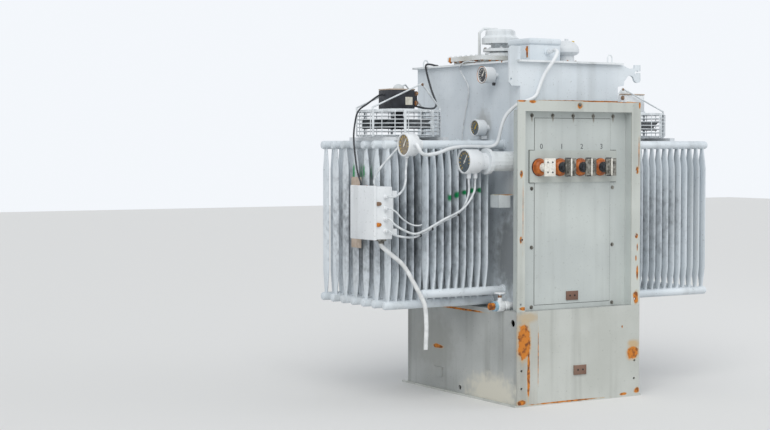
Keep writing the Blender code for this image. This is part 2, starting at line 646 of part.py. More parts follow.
def radiator_row(name, wall, direction, first, count, row_y, low_header, paint):
    """Two header pipes and the flattened tubes between them, all one body."""
    bm = bmesh.new()
    reach = first + (count - 1) * TUBE_PITCH + HEADER_END_MARGIN
    start = wall + direction * GAP
    end = wall + direction * reach
    stations = []
    for index in range(count):
        middle = wall + direction * (first + index * TUBE_PITCH)
        stations += [middle - NECK_WIDTH / 2, middle + NECK_WIDTH / 2]
    facet = HEADER_RADIUS * math.cos(math.pi / HEADER_SIDES)
    for height, side in ((HEADER_TOP, -1), (low_header, 1)):
        made = bmesh.ops.create_cone(
            bm, cap_ends=True, segments=HEADER_SIDES, radius1=HEADER_RADIUS,
            radius2=HEADER_RADIUS, depth=abs(end - start))["verts"]
        turn = Matrix.Rotation(math.pi / HEADER_SIDES, 4, "X") @ Matrix.Rotation(math.pi / 2, 4, "Y")
        bmesh.ops.transform(bm, matrix=turn, verts=made)
        bmesh.ops.translate(bm, vec=((start + end) / 2, row_y, height), verts=made)
        ring = set(made)
        caps = [face for face in bm.faces
                if ring.issuperset(face.verts) and face.normal.x * direction > 0.9]
        tip = bmesh.ops.extrude_face_region(bm, geom=caps)
        tip_verts = [part for part in tip["geom"] if isinstance(part, bmesh.types.BMVert)]
        bmesh.ops.delete(bm, geom=[face for face in caps if face.is_valid], context="FACES_ONLY")
        bmesh.ops.translate(bm, vec=(direction * HEADER_TIP, 0, 0), verts=tip_verts)
        middle = Matrix.Translation((-end, -row_y, -height))
        bmesh.ops.scale(bm, vec=(1, HEADER_TIP_SHARE, HEADER_TIP_SHARE), verts=tip_verts, space=middle)
        for station in stations:
            facets = [
                face for face in bm.faces
                if abs(face.calc_center_median().z - (height + side * facet)) < GAP
                and face.normal.z * side > 0.9]
            geometry = set(facets)
            for face in facets:
                geometry.update(face.edges)
                geometry.update(face.verts)
            bmesh.ops.bisect_plane(
                bm, geom=list(geometry), plane_co=(station, 0, 0), plane_no=(1, 0, 0), dist=GAP / 10)

    def neck_faces(height, side):
        level = height + side * facet
        found = []
        for face in bm.faces:
            centre = face.calc_center_median()
            if abs(centre.z - level) > GAP or face.normal.z * side < 0.9:
                continue
            along = (centre.x - wall) * direction - first
            index = round(along / TUBE_PITCH)
            if abs(along - index * TUBE_PITCH) < GAP:
                found.append((index, face))
        return [face for index, face in sorted(found, key=lambda pair: pair[0])]

    upper = neck_faces(HEADER_TOP, -1)
    lower = neck_faces(low_header, 1)
    facet_width = 2 * HEADER_RADIUS * math.sin(math.pi / HEADER_SIDES)
    body_scale = (TUBE_THICKNESS / NECK_WIDTH, TUBE_WIDTH / facet_width, 1)
    neck_scale = (NECK_WIDTH / TUBE_THICKNESS, facet_width / TUBE_WIDTH, 1)
    top_level = HEADER_TOP - facet
    low_level = low_header + facet
    steps = (
        (top_level - TOP_TAPER, body_scale),
        (low_level + BOTTOM_TAPER, (1, 1, 1)),
        (low_level, neck_scale),
    )
    for face in upper:
        current = face
        for level, scale in steps:
            pushed = bmesh.ops.extrude_face_region(bm, geom=[current])["geom"]
            if current.is_valid:
                bm.faces.remove(current)
            current = [part for part in pushed if isinstance(part, bmesh.types.BMFace)][0]
            centre = current.calc_center_median()
            bmesh.ops.translate(bm, vec=(0, 0, level - centre.z), verts=current.verts)
            space = Matrix.Translation((-centre.x, -centre.y, -level))
            bmesh.ops.scale(bm, vec=scale, verts=current.verts, space=space)
        bm.faces.remove(current)
    for face in lower:
        bm.faces.remove(face)
    bmesh.ops.remove_doubles(bm, verts=bm.verts, dist=GAP / 10)
    return finish_mesh(name, bm, paint)


def radiators(paint):
    """Eight rows on each side. The front row on the left is shorter and holds a gauge."""
    for index in range(LEFT_ROWS):
        short = index == 0
        setback = LEFT_FIRST_ROW if short else LEFT_SECOND_ROW + (index - 1) * LEFT_ROW_PITCH
        row_y = FRONT + setback
        radiator_row(
            "radiator_left_%d" % (index + 1), TANK_LEFT, -1,
            SHORT_ROW_FIRST_TUBE if short else LEFT_FIRST_TUBE,
            SHORT_ROW_TUBES if short else LEFT_TUBES, row_y,
            SHORT_HEADER_BOTTOM if short else HEADER_BOTTOM, paint)
    for index in range(RIGHT_ROWS):
        row_y = FRONT + RIGHT_FIRST_ROW + index * RIGHT_ROW_PITCH
        radiator_row("radiator_right_%d" % (index + 1), TANK_RIGHT, 1, RIGHT_FIRST_TUBE,
                     RIGHT_TUBES, row_y, HEADER_BOTTOM, paint)


def gauges(case, paint):
    """The round instruments on the left side, each a drum with its dial facing -X."""
    end = TANK_LEFT - SHORT_REACH - HEADER_TIP - GAP
    neck = -HEADER_GAUGE_NECK
    back = neck - HEADER_GAUGE_BODY
    turned("header_gauge",
           [(0, 0), (0, HEADER_GAUGE_NECK_RADIUS), (neck, HEADER_GAUGE_NECK_RADIUS),
            (neck, HEADER_GAUGE_RADIUS), (back, HEADER_GAUGE_RADIUS), (back, 0)],
           (end, FRONT + LEFT_FIRST_ROW, HEADER_TOP), "X", GAUGE_SIDES, case)
    pipe_end = -LEVEL_PIPE_LENGTH
    flange_end = pipe_end - LEVEL_FLANGE
    level_y = FRONT + LEVEL_GAUGE_SETBACK
    turned("level_gauge_pipe",
           [(0, 0), (0, LEVEL_PIPE_RADIUS), (pipe_end, LEVEL_PIPE_RADIUS),
            (pipe_end, LEVEL_FLANGE_RADIUS), (flange_end, LEVEL_FLANGE_RADIUS), (flange_end, 0)],
           (TANK_LEFT - GAP, level_y, LEVEL_GAUGE_HEIGHT), "X", GAUGE_SIDES, paint)
    spacer = -LEVEL_SPACER
    face = spacer - LEVEL_GAUGE_BODY
    turned("level_gauge",
           [(0, 0), (0, LEVEL_SPACER_RADIUS), (spacer, LEVEL_SPACER_RADIUS),
            (spacer, LEVEL_GAUGE_RADIUS), (face, LEVEL_GAUGE_RADIUS), (face, 0)],
           (TANK_LEFT - GAP + flange_end - GAP, level_y, LEVEL_GAUGE_HEIGHT),
           "X", GAUGE_SIDES, case)
    stem = -WALL_GAUGE_STEM
    face = stem - WALL_GAUGE_BODY
    turned("wall_gauge_low",
           [(0, 0), (0, WALL_GAUGE_STEM_RADIUS), (stem, WALL_GAUGE_STEM_RADIUS),
            (stem, WALL_GAUGE_RADIUS), (face, WALL_GAUGE_RADIUS), (face, 0)],
           (TANK_LEFT - GAP, FRONT + LOW_GAUGE_SETBACK, LOW_GAUGE_HEIGHT), "X", GAUGE_SIDES, case)
    stem = -HIGH_GAUGE_STEM
    face = stem - HIGH_GAUGE_BODY
    turned("wall_gauge_high",
           [(0, 0), (0, HIGH_GAUGE_STEM_RADIUS), (stem, HIGH_GAUGE_STEM_RADIUS),
            (stem, HIGH_GAUGE_RADIUS), (face, HIGH_GAUGE_RADIUS), (face, 0)],
           (TANK_LEFT - GAP, FRONT + HIGH_GAUGE_SETBACK, HIGH_GAUGE_HEIGHT),
           "X", GAUGE_SIDES, case)


def junction_box(paint):
    """Wall box with cable glands, on two straps across the outer radiator tubes."""
    outer = TANK_LEFT - LEFT_REACH - HEADER_TIP
    tube_face = TANK_LEFT - LEFT_REACH + HEADER_END_MARGIN - TUBE_THICKNESS / 2
    strap_back = tube_face - GAP
    strap_front = outer - BOX_BRACKET
    near = FRONT + BOX_SETBACK
    low = BOX_LOW + BOX_BRACKET_MARGIN
    high = BOX_HIGH - BOX_BRACKET_MARGIN
    plate = block("junction_bracket", (strap_front, near, low),
                  (strap_front + BOX_BRACKET, near + BOX_WIDTH, high), paint)
    for name, height in (("low", low), ("high", high - BOX_STRAP_HEIGHT)):
        strap = block("junction_strap_" + name, (strap_front, near, height),
                      (strap_back, near + BOX_WIDTH, height + BOX_STRAP_HEIGHT), paint)
        use_tool(plate, strap, "UNION")
    back = strap_front - GAP
    box = block("junction_box", (back - BOX_DEPTH, near, BOX_LOW),
                (back, near + BOX_WIDTH, BOX_HIGH), paint)
    for index, height in enumerate(GLAND_HEIGHTS):
        gland = turned(
            "junction_gland_%d" % (index + 1),
            [(-GLAND_LENGTH, 0), (-GLAND_LENGTH, GLAND_RADIUS),
             (OVERRUN, GLAND_RADIUS), (OVERRUN, 0)],
            (back - GLAND_BACK, near, height), "Y", GLAND_SIDES, paint)
        use_tool(box, gland, "UNION")


def fan(side, wall, direction, cage_paint, motor_paint, paint):
    """Wire cage, motor on top of it, two slotted rails under it and a bent hanger rod."""
    centre_x = wall + direction * FAN_REACH
    centre_y = FRONT + FAN_SETBACK
    top = FAN_LOW + FAN_HEIGHT
    bm = bmesh.new()
    hub = FAN_RADIUS * FAN_HUB_SHARE
    rings = [(FAN_RADIUS, FAN_LOW), (FAN_RADIUS, FAN_LOW + FAN_HEIGHT / 2), (FAN_RADIUS, top),
             (hub, top)]
    chain = [bm.verts.new((centre_x + radius, centre_y, height)) for radius, height in rings]
    edges = [bm.edges.new(pair) for pair in zip(chain[:-1], chain[1:])]
    bmesh.ops.spin(bm, geom=chain + edges, cent=(centre_x, centre_y, 0), axis=(0, 0, 1),
                   angle=math.tau, steps=FAN_SEGMENTS, use_merge=True)
    bmesh.ops.remove_doubles(bm, verts=bm.verts, dist=GAP)
    bmesh.ops.wireframe(bm, faces=bm.faces, thickness=FAN_WIRE, use_replace=True,
                        use_boundary=True, use_even_offset=True, use_crease=False)
    finish_mesh("fan_%s_cage" % side, bm, cage_paint)
    motor_low = top + FAN_WIRE / 2 + GAP
    bm = block_bmesh(
        (centre_x - MOTOR_LENGTH / 2, centre_y - MOTOR_WIDTH / 2, motor_low),
        (centre_x + MOTOR_LENGTH / 2, centre_y + MOTOR_WIDTH / 2, motor_low + MOTOR_HEIGHT))
    upright = [edge for edge in bm.edges
               if abs(edge.verts[0].co.z - edge.verts[1].co.z) > MOTOR_HEIGHT / 2]
    bmesh.ops.bevel(bm, geom=upright, offset=MOTOR_BEVEL, segments=2, profile=0.5,
                    affect="EDGES", material=-1)
    finish_mesh("fan_%s_motor" % side, bm, motor_paint)
    rail_low = HEADER_TOP + HEADER_RADIUS * math.cos(math.pi / HEADER_SIDES) + GAP
    rail_high = FAN_LOW - FAN_WIRE / 2 - GAP
    near = FRONT + LEFT_FIRST_ROW + HEADER_GAUGE_RADIUS + FAN_RAIL_CLEARANCE
    outer = centre_x - direction * FAN_RAIL_SPREAD
    inner = centre_x + direction * FAN_RAIL_SPREAD
    half = FAN_RAIL_WIDTH / 2
    frame = block("fan_%s_rails" % side, (outer - half, near, rail_low),
                  (outer + half, near + FAN_RAIL_LENGTH, rail_high), paint)
    other = block("fan_%s_other_rail" % side, (inner - half, near, rail_low),
                  (inner + half, near + FAN_RAIL_LENGTH, rail_high), paint)
    tie = block("fan_%s_tie" % side, (min(outer, inner), centre_y - half, rail_low),
                (max(outer, inner), centre_y + half, rail_high), paint)
    use_tool(frame, other, "UNION")
    use_tool(frame, tie, "UNION")
    foot = top + FAN_WIRE / 2 - HANGER_SEAT
    rod_y = centre_y - MOTOR_WIDTH / 2 - HANGER_CLEARANCE
    spread = math.sqrt(FAN_RADIUS ** 2 - (centre_y - rod_y) ** 2)
    bend = foot + HANGER_FOOT
    rod("fan_%s_hanger" % side,
        [(centre_x - spread, rod_y, foot), (centre_x - spread, rod_y, bend),
         (centre_x - direction * HANGER_APEX_SHIFT, rod_y, HANGER_APEX),
         (centre_x + spread, rod_y, bend), (centre_x + spread, rod_y, foot)],
        HANGER_RADIUS, paint)


def cover_pieces(paint, rust_paint):
    """Terminal box, bolted hand-hole with its raised cap, relief device and lifting eyes."""
    low = COVER_TOP + GAP
    left = LEFT + COVER_BOX_LEFT
    near = FRONT + COVER_BOX_SETBACK
    lid_low = low + COVER_BOX_BODY + GAP
    block("cover_box", (left, near, low),
          (left + COVER_BOX_WIDTH, near + COVER_BOX_DEPTH, low + COVER_BOX_BODY), paint)
    block("cover_box_lid", (left - COVER_BOX_LIP, near - COVER_BOX_LIP, lid_low),
          (left + COVER_BOX_WIDTH + COVER_BOX_LIP, near + COVER_BOX_DEPTH + COVER_BOX_LIP,
           lid_low + COVER_BOX_LID), paint)
    left = LEFT + HAND_HOLE_LEFT
    near = FRONT + HAND_HOLE_SETBACK
    riser = block("hand_hole_plate", (left, near, low),
                  (left + HAND_HOLE_WIDTH, near + HAND_HOLE_DEPTH, low + HAND_HOLE_RISER), paint)
    flange = block("hand_hole_flange",
                   (left - HAND_HOLE_LIP, near - HAND_HOLE_LIP,
                    low + HAND_HOLE_RISER - HAND_HOLE_FLANGE / 2),
                   (left + HAND_HOLE_WIDTH + HAND_HOLE_LIP, near + HAND_HOLE_DEPTH + HAND_HOLE_LIP,
                    low + HAND_HOLE_RISER + HAND_HOLE_FLANGE / 2), rust_paint)
    use_tool(riser, flange, "UNION")
    plate_top = low + HAND_HOLE_RISER + HAND_HOLE_FLANGE / 2
    start = LEFT + LOOP_LEFT
    end = start + LOOP_SPAN
    loop_y = FRONT + LOOP_SETBACK
    foot = plate_top - HAND_HOLE_FLANGE / 2
    high = plate_top + LOOP_RISE
    add_rod(riser, "hand_hole_loop", [
        (start, loop_y, foot), (start, loop_y, high - LOOP_BEND), (start + LOOP_BEND, loop_y, high),
        (end - LOOP_BEND, loop_y, high), (end, loop_y, high - LOOP_BEND), (end, loop_y, foot)],
        LOOP_RADIUS)
    turned("hand_hole_cap", CAP_PROFILE,
           (LEFT + CAP_LEFT, FRONT + CAP_SETBACK, plate_top + GAP), "Z", CAP_SIDES, paint)
    turned("relief_device", RELIEF_PROFILE,
           (LEFT + RELIEF_LEFT, FRONT + RELIEF_SETBACK, low), "Z", GAUGE_SIDES, paint)


def lifting_plates(paint):
    """Hooked plate at the right front corner, and the notched one at the left."""
    start = TANK_RIGHT + GAP
    outline = [(start + reach, TANK_TOP + height) for reach, height in HOOK_OUTLINE]
    prism("lifting_plate_right", outline, "Y", TANK_FRONT, TANK_FRONT + LUG_PLATE, paint)
    start = TANK_LEFT - GAP
    end = start - LEFT_LUG_REACH
    high = TANK_TOP + LEFT_LUG_RISE
    inner = start - COVER_OVERHANG
    outline = [
        (start, TANK_TOP - LEFT_LUG_DROP), (end + LEFT_LUG_CORNER, TANK_TOP - LEFT_LUG_DROP),
        (end, TANK_TOP - LEFT_LUG_DROP + LEFT_LUG_CORNER),
        (end, high - LEFT_LUG_CORNER), (end + LEFT_LUG_CORNER, high), (start, high),
        (start, COVER_TOP + GAP), (inner, COVER_TOP + GAP), (inner, TANK_TOP), (start, TANK_TOP)]
    plate = prism("lifting_plate_left", outline, "Y", TANK_FRONT, TANK_FRONT + LUG_PLATE, paint)
    hole = turned("lifting_hole",
                  [(-OVERRUN, LUG_HOLE_RADIUS), (LUG_PLATE + OVERRUN, LUG_HOLE_RADIUS)],
                  (start - LUG_HOLE_REACH, TANK_FRONT, TANK_TOP - LUG_HOLE_DROP), "Y",
                  BOLT_HOLE_SIDES, paint)
    use_tool(plate, hole, "DIFFERENCE")


def fittings(paint, brass):
    """Drain valve with its handwheel, and the shelf bracket with its two skirts."""
    centre = (TANK_LEFT - GAP, FRONT + VALVE_SETBACK, VALVE_HEIGHT)
    valve = turned("drain_valve", [(-reach, radius) for reach, radius in VALVE_PROFILE],
                   centre, "X", VALVE_SIDES, brass)
    wheel_low = VALVE_STEM_RISE - VALVE_WHEEL
    stem = turned("valve_handwheel",
                  [(0, 0), (0, VALVE_STEM_RADIUS), (wheel_low, VALVE_STEM_RADIUS),
                   (wheel_low, VALVE_WHEEL_RADIUS), (VALVE_STEM_RISE, VALVE_WHEEL_RADIUS),
                   (VALVE_STEM_RISE, 0)],
                  (centre[0] - VALVE_STEM_REACH, centre[1], centre[2]), "Z", VALVE_SIDES, brass)
    use_tool(valve, stem, "UNION")
    near = FRONT + SHELF_SETBACK
    wall = TANK_LEFT - GAP
    top = SHELF_HEIGHT
    shelf = block("side_bracket", (wall - SHELF_DEPTH, near, top - SHELF_PLATE),
                  (wall, near + SHELF_WIDTH, top), paint)
    skirt = block("side_bracket_front", (wall - SHELF_DEPTH, near, top - SHELF_RISE),
                  (wall - SHELF_STRAP, near + SHELF_PLATE, top), paint)
    side = block("side_bracket_side", (wall - SHELF_DEPTH, near, top - SHELF_RISE),
                 (wall - SHELF_DEPTH + SHELF_PLATE, near + SHELF_WIDTH, top), paint)
    use_tool(shelf, skirt, "UNION")
    use_tool(shelf, side, "UNION")


def leads(lead_paint, conduit_paint, hose_paint):
    """Held leads between the instruments and their boxes, and the drain hose that hangs free."""
    held = (("lead_header_gauge", HEADER_LEAD_ROUTE), ("lead_level_gauge", LEVEL_LEAD_ROUTE),
            ("lead_level_gauge_second", SECOND_LEAD_ROUTE), ("lead_box_top", BOX_LEAD_ROUTE))
    for name, route in held:
        tube_curve(name, [from_corner(place) for place in route], LEAD_POINTS,
                   LEAD_RADIUS, 1, lead_paint)
    tube_curve("sensor_conduit", [from_corner(place) for place in CONDUIT_ROUTE],
               CONDUIT_POINTS, CONDUIT_RADIUS, 1, conduit_paint)
    tube_curve("hose", [from_corner(place) for place in HOSE_ROUTE],
               HOSE_POINTS, HOSE_RADIUS, 2, hose_paint)


def build():
    """Make every piece."""
    clear_scene()
    tank_paint = make_material("tank_paint", (0.56, 0.60, 0.64), 0.5, 0.0)
    frame_paint = make_material("frame_paint", (0.66, 0.66, 0.63), 0.55, 0.0)
    recess_paint = make_material("recess_paint", (0.55, 0.58, 0.54), 0.5, 0.0)
    radiator_paint = make_material("radiator_paint", (0.60, 0.64, 0.68), 0.45, 0.0)
    rust_paint = make_material("rusted_paint", (0.42, 0.30, 0.20), 0.8, 0.0)
    epoxy = make_material("epoxy", (0.50, 0.20, 0.06), 0.35, 0.0)
    metal = make_material("terminal_metal", (0.75, 0.75, 0.74), 0.35, 1.0)
    case = make_material("gauge_case", (0.70, 0.70, 0.68), 0.4, 0.2)
    motor_paint = make_material("motor_paint", (0.03, 0.03, 0.035), 0.5, 0.1)
    cage_paint = make_material("cage_wire", (0.62, 0.64, 0.66), 0.4, 0.5)
    lead_paint = make_material("lead_jacket", (0.62, 0.63, 0.63), 0.5, 0.0)
    hose_paint = make_material("hose", (0.80, 0.80, 0.78), 0.5, 0.0)
    brass = make_material("valve_metal", (0.55, 0.50, 0.42), 0.45, 0.6)
    base(frame_paint)
    tank(tank_paint)
    low_voltage_front(frame_paint, recess_paint)
    bushings(epoxy, metal)
    radiators(radiator_paint)
    gauges(case, tank_paint)
    junction_box(tank_paint)
    fan("left", TANK_LEFT, -1, cage_paint, motor_paint, tank_paint)
    fan("right", TANK_RIGHT, 1, cage_paint, motor_paint, tank_paint)
    cover_pieces(tank_paint, rust_paint)
    lifting_plates(tank_paint)
    fittings(tank_paint, brass)
    leads(lead_paint, cage_paint, hose_paint)


build()
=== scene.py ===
# %% [markdown]
# A liquid-filled power transformer, dressed around its imported model. The frame holds
# every rigid piece at its real size, in metres, with +Z up. This first cell loads it.

# %% Load the frame
import json
import math

import bmesh
import bpy
from mathutils import Matrix, Vector

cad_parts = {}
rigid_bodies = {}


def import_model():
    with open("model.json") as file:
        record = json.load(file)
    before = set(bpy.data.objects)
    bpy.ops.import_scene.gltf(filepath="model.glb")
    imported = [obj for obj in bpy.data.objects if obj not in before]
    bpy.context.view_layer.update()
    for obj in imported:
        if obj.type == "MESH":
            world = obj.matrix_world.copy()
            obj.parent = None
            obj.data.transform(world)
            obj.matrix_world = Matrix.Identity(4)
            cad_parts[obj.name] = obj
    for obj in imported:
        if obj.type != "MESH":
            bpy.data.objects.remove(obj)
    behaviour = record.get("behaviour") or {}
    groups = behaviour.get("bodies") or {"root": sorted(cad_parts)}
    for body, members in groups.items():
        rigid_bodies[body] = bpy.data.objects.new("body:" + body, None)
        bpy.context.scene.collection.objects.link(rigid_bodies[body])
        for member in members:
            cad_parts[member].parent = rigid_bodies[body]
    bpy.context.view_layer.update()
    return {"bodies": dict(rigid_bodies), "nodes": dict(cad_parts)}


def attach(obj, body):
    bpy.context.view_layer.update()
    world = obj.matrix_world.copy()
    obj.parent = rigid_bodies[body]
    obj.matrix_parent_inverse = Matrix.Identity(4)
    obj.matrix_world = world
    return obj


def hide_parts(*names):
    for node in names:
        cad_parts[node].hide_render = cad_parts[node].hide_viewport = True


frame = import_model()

root = "root" if "root" in frame["bodies"] else list(frame["bodies"])[0]

# %% [markdown]
# The camera stands where the photographer stood: to the left of the front, a little
# below the top of the flange, looking slightly down. A long lens keeps the uprights
# nearly parallel, so the pitch is small and no shift is needed.

# %% Camera
PHOTO_WIDTH = 770
PHOTO_HEIGHT = 430
FOCAL_PIXELS = 1610
HORIZON_ROW = 149
CAMERA_PLACE = Vector((-6.071, -8.359, 1.54))
VIEW_ACROSS = 0.517
VIEW_AWAY = 0.855

camera_data = bpy.data.cameras.new("camera")
camera_data.sensor_width = 36.0
camera_data.lens = FOCAL_PIXELS / PHOTO_WIDTH * camera_data.sensor_width
camera = bpy.data.objects.new("camera", camera_data)
bpy.context.scene.collection.objects.link(camera)
bpy.context.scene.camera = camera
drop = (PHOTO_HEIGHT / 2 - HORIZON_ROW) / FOCAL_PIXELS
aim = Vector((VIEW_ACROSS, VIEW_AWAY, -drop))
camera.location = CAMERA_PLACE
camera.rotation_euler = aim.to_track_quat("-Z", "Y").to_euler()
print("lens:", round(camera_data.lens, 1), "mm")

# %% [markdown]
# Outdoor paint is never one colour. It fades in soft clouds, dirt runs down it in long
# upright streaks, and it chips to rust where water stays. Each of those is a noise
# pattern in the object's own metres, so that neighbouring pieces weather together.
# Painting by hand would need images, so small node helpers build the masks instead.

# %% Helpers for finishes
FULL_VALUE = 255
EYE_OFFSET = 0.055
EYE_SCALE = 1.055
EYE_POWER = 2.4


def eye_colour(values):
    """A colour given from 0 to 255, as the linear values that a shader takes."""
    return tuple(((value / FULL_VALUE + EYE_OFFSET) / EYE_SCALE) ** EYE_POWER for value in values)


def recipe(name):
    """A new material with its node tree and its shader."""
    material = bpy.data.materials.new(name)
    material.use_nodes = True
    return material, material.node_tree, material.node_tree.nodes["Principled BSDF"]


def feed(tree, socket, value):
    """Sets a socket to a plain value or a colour given from 0 to 255, or links it to another node."""
    if isinstance(value, bpy.types.NodeSocket):
        tree.links.new(value, socket)
    elif socket.type == "RGBA":
        socket.default_value = (*eye_colour(value), 1.0)
    else:
        socket.default_value = value


def metres(tree, stretch=(1, 1, 1), shift=(0, 0, 0)):
    """The point on the object in metres, stretched and shifted."""
    source = tree.nodes.new("ShaderNodeTexCoord")
    mapping = tree.nodes.new("ShaderNodeMapping")
    mapping.inputs["Scale"].default_value = stretch
    mapping.inputs["Location"].default_value = shift
    tree.links.new(source.outputs["Object"], mapping.inputs["Vector"])
    return mapping.outputs["Vector"]


def cloud(tree, scale, detail=4, stretch=(1, 1, 1), shift=(0, 0, 0)):
    """Soft noise with a given fineness."""
    node = tree.nodes.new("ShaderNodeTexNoise")
    node.inputs["Scale"].default_value = scale
    node.inputs["Detail"].default_value = detail
    tree.links.new(metres(tree, stretch, shift), node.inputs["Vector"])
    return node.outputs["Fac"]


def window(tree, value, low, high, bottom=0.0, top=1.0):
    """Turns a value between low and high into a mask between bottom and top."""
    node = tree.nodes.new("ShaderNodeMapRange")
    node.interpolation_type = "SMOOTHSTEP"
    for title, number in (("Value", value), ("From Min", low), ("From Max", high),
                          ("To Min", bottom), ("To Max", top)):
        feed(tree, node.inputs[title], number)
    return node.outputs["Result"]


def reckon(tree, operation, first, second):
    """One sum of two values."""
    node = tree.nodes.new("ShaderNodeMath")
    node.operation = operation
    feed(tree, node.inputs[0], first)
    feed(tree, node.inputs[1], second)
    return node.outputs[0]


def layer(tree, mask, under, over):
    """One colour over another, where the mask says."""
    node = tree.nodes.new("ShaderNodeMix")
    node.data_type = "RGBA"
    feed(tree, node.inputs[0], mask)
    feed(tree, node.inputs[6], under)
    feed(tree, node.inputs[7], over)
    return node.outputs[2]


def patch(tree, place, reach, ragged):
    """A mask that is 1 near a place and ends in a ragged edge at its reach."""
    stretch = [1 / length for length in reach]
    shift = [-where / length for where, length in zip(place, reach)]
    node = tree.nodes.new("ShaderNodeVectorMath")
    node.operation = "LENGTH"
    tree.links.new(metres(tree, stretch, shift), node.inputs[0])
    distance = reckon(tree, "ADD", node.outputs["Value"], ragged)
    return window(tree, distance, 1.75, 0.95)


def bumps(tree, shader, height, strength, depth=0.002):
    """Fine relief for a surface."""
    node = tree.nodes.new("ShaderNodeBump")
    node.inputs["Strength"].default_value = strength
    node.inputs["Distance"].default_value = depth
    tree.links.new(height, node.inputs["Height"])
    tree.links.new(node.outputs["Normal"], shader.inputs["Normal"])


print("helpers ready")

# %% [markdown]
# Most surfaces share one recipe: sun-faded paint, upright dirt runs, small dark specks,
# and rust. Rust shows in chosen patches, round bolts and along wet edges, each with a
# tan stain round it, because that is how water carries it on real steel.

# %% Paint recipe
RUST_DARK = (122, 70, 34)
RUST_BRIGHT = (200, 122, 42)
STAIN = (190, 166, 130)
GRIME = (92, 94, 86)


def rust_colour(tree):
    """Dark scale broken by bright orange powder."""
    return layer(tree, window(tree, cloud(tree, 38, 8), 0.36, 0.6), RUST_DARK, RUST_BRIGHT)


def outdoor_paint(name, fresh, faded, runs=0.25, specks=0.35, chips=0.0, patches=(),
                  marks_and_shade=(), smooth=0.45):
    """Weathered enamel, with rust patches and spots of other paint, stain and painted shade, by place
    and reach.
    """
    material, tree, shader = recipe(name)
    ragged = cloud(tree, 24, 8)
    colour = layer(tree, window(tree, cloud(tree, 2.3, 5), 0.35, 0.65), fresh, faded)
    run_mask = window(tree, cloud(tree, 11, 5, (1, 1, 0.05)), 0.5, 0.72, 0.0, runs)
    colour = layer(tree, run_mask, colour, GRIME)
    speck_mask = window(tree, cloud(tree, 75, 3), 0.63, 0.74, 0.0, specks)
    colour = layer(tree, speck_mask, colour, GRIME)
    # Other paints, stains and painted shade go over the colour here.
    for place, reach, tint in marks_and_shade:
        colour = layer(tree, patch(tree, place, reach, ragged), colour, tint)
    rust = window(tree, cloud(tree, 13, 9, (1, 1, 0.7)), 0.78 - 0.2 * chips, 0.82 - 0.2 * chips)
    for place, reach in patches:
        rust = reckon(tree, "MAXIMUM", rust, patch(tree, place, reach, ragged))
    colour = layer(tree, window(tree, rust, 0.02, 0.5, 0.0, 0.75), colour, STAIN)
    colour = layer(tree, window(tree, rust, 0.45, 0.75), colour, rust_colour(tree))
    feed(tree, shader.inputs["Base Color"], colour)
    dull = window(tree, cloud(tree, 6, 4), 0.3, 0.7, smooth - 0.08, smooth + 0.12)
    dull = reckon(tree, "MAXIMUM", dull, window(tree, rust, 0.4, 0.8, 0.0, 0.88))
    feed(tree, shader.inputs["Roughness"], dull)
    relief = reckon(tree, "SUBTRACT", reckon(tree, "MULTIPLY", cloud(tree, 160, 3), 0.25), rust)
    bumps(tree, shader, relief, 0.3)
    return material


print("paint recipe ready")

# %% [markdown]
# The tank and its cover are a light blue grey, the recess a greener one and the flange
# warmer. Wet edges rust: the corner strip of the base, the holes of the flange and its
# top edge. Darker places on the tank's left wall and in the middle of each cooler bank,
# and the darker side of the base, are painted shade. Places are read in the object's own frame.

# %% Paints
tank_paint = outdoor_paint(
    "tank paint", (222, 229, 234), (206, 214, 220), runs=0.16,
    patches=[((0.22, -0.5, 1.832), (0.6, 0.03, 0.006))],
    # The three darker places on the left wall are painted shade: round the low wall gauge, along the
    # foot of the wall under the coolers, and near its front at mid height.
    marks_and_shade=[((-0.374, -0.12, 1.68), (0.06, 0.09, 0.11), (186, 190, 191)),
           ((-0.374, 0.2, 0.6), (0.06, 0.5, 0.12), (128, 134, 138)),
           ((-0.374, -0.42, 0.9), (0.05, 0.2, 0.28), (140, 145, 148))])
cover_paint = outdoor_paint(
    "cover paint", (232, 236, 238), (214, 219, 222), chips=0.3)
hand_hole_paint = outdoor_paint(
    "hand hole paint", (226, 230, 232), (196, 196, 190), chips=0.75)
bracket_paint = outdoor_paint(
    "bracket paint", (214, 220, 222), (196, 202, 204), chips=0.3,
    patches=[((-0.44, -0.44, 1.268), (0.06, 0.05, 0.008))],
    marks_and_shade=[((-0.44, -0.42, 1.268), (0.09, 0.07, 0.01), (206, 194, 150))])
FLANGE_FRONT = -0.61
flange_rust = [
    ((-0.442, 1.39), (0.014, 0.026)), ((-0.445, 1.0), (0.01, 0.026)), ((0.442, 1.41), (0.012, 0.028)),
    ((0.456, 1.5), (0.004, 0.12)), ((0.44, 1.0), (0.014, 0.018)), ((0.447, 0.93), (0.006, 0.03)),
    ((0.437, 0.86), (0.006, 0.02)), ((0.448, 0.77), (0.009, 0.05)), ((0.437, 0.62), (0.022, 0.05)),
    ((-0.44, 1.826), (0.035, 0.01)), ((-0.36, 1.822), (0.028, 0.012)), ((-0.007, 1.8), (0.022, 0.024)),
    ((0.12, 1.829), (0.13, 0.005)), ((0.33, 1.829), (0.14, 0.005)), ((0.46, 1.81), (0.008, 0.025)),
    ((-0.43, 1.15), (0.0022, 0.22)), ((-0.43, 0.59), (0.03, 0.012))]
flange_paint = outdoor_paint(
    "flange paint", (197, 201, 195), (184, 188, 182), runs=0.2, chips=0.1,
    patches=[((x, FLANGE_FRONT, z), (across, 0.05, up)) for (x, z), (across, up) in flange_rust])
recess_paint = outdoor_paint(
    "recess paint", (196, 202, 199), (186, 192, 190), runs=0.14, specks=0.2,
    marks_and_shade=[((x, -0.56, 1.73), (0.008, 0.05, 0.03), (150, 146, 136))
           for x in (-0.32, -0.165, -0.01, 0.145, 0.3)])
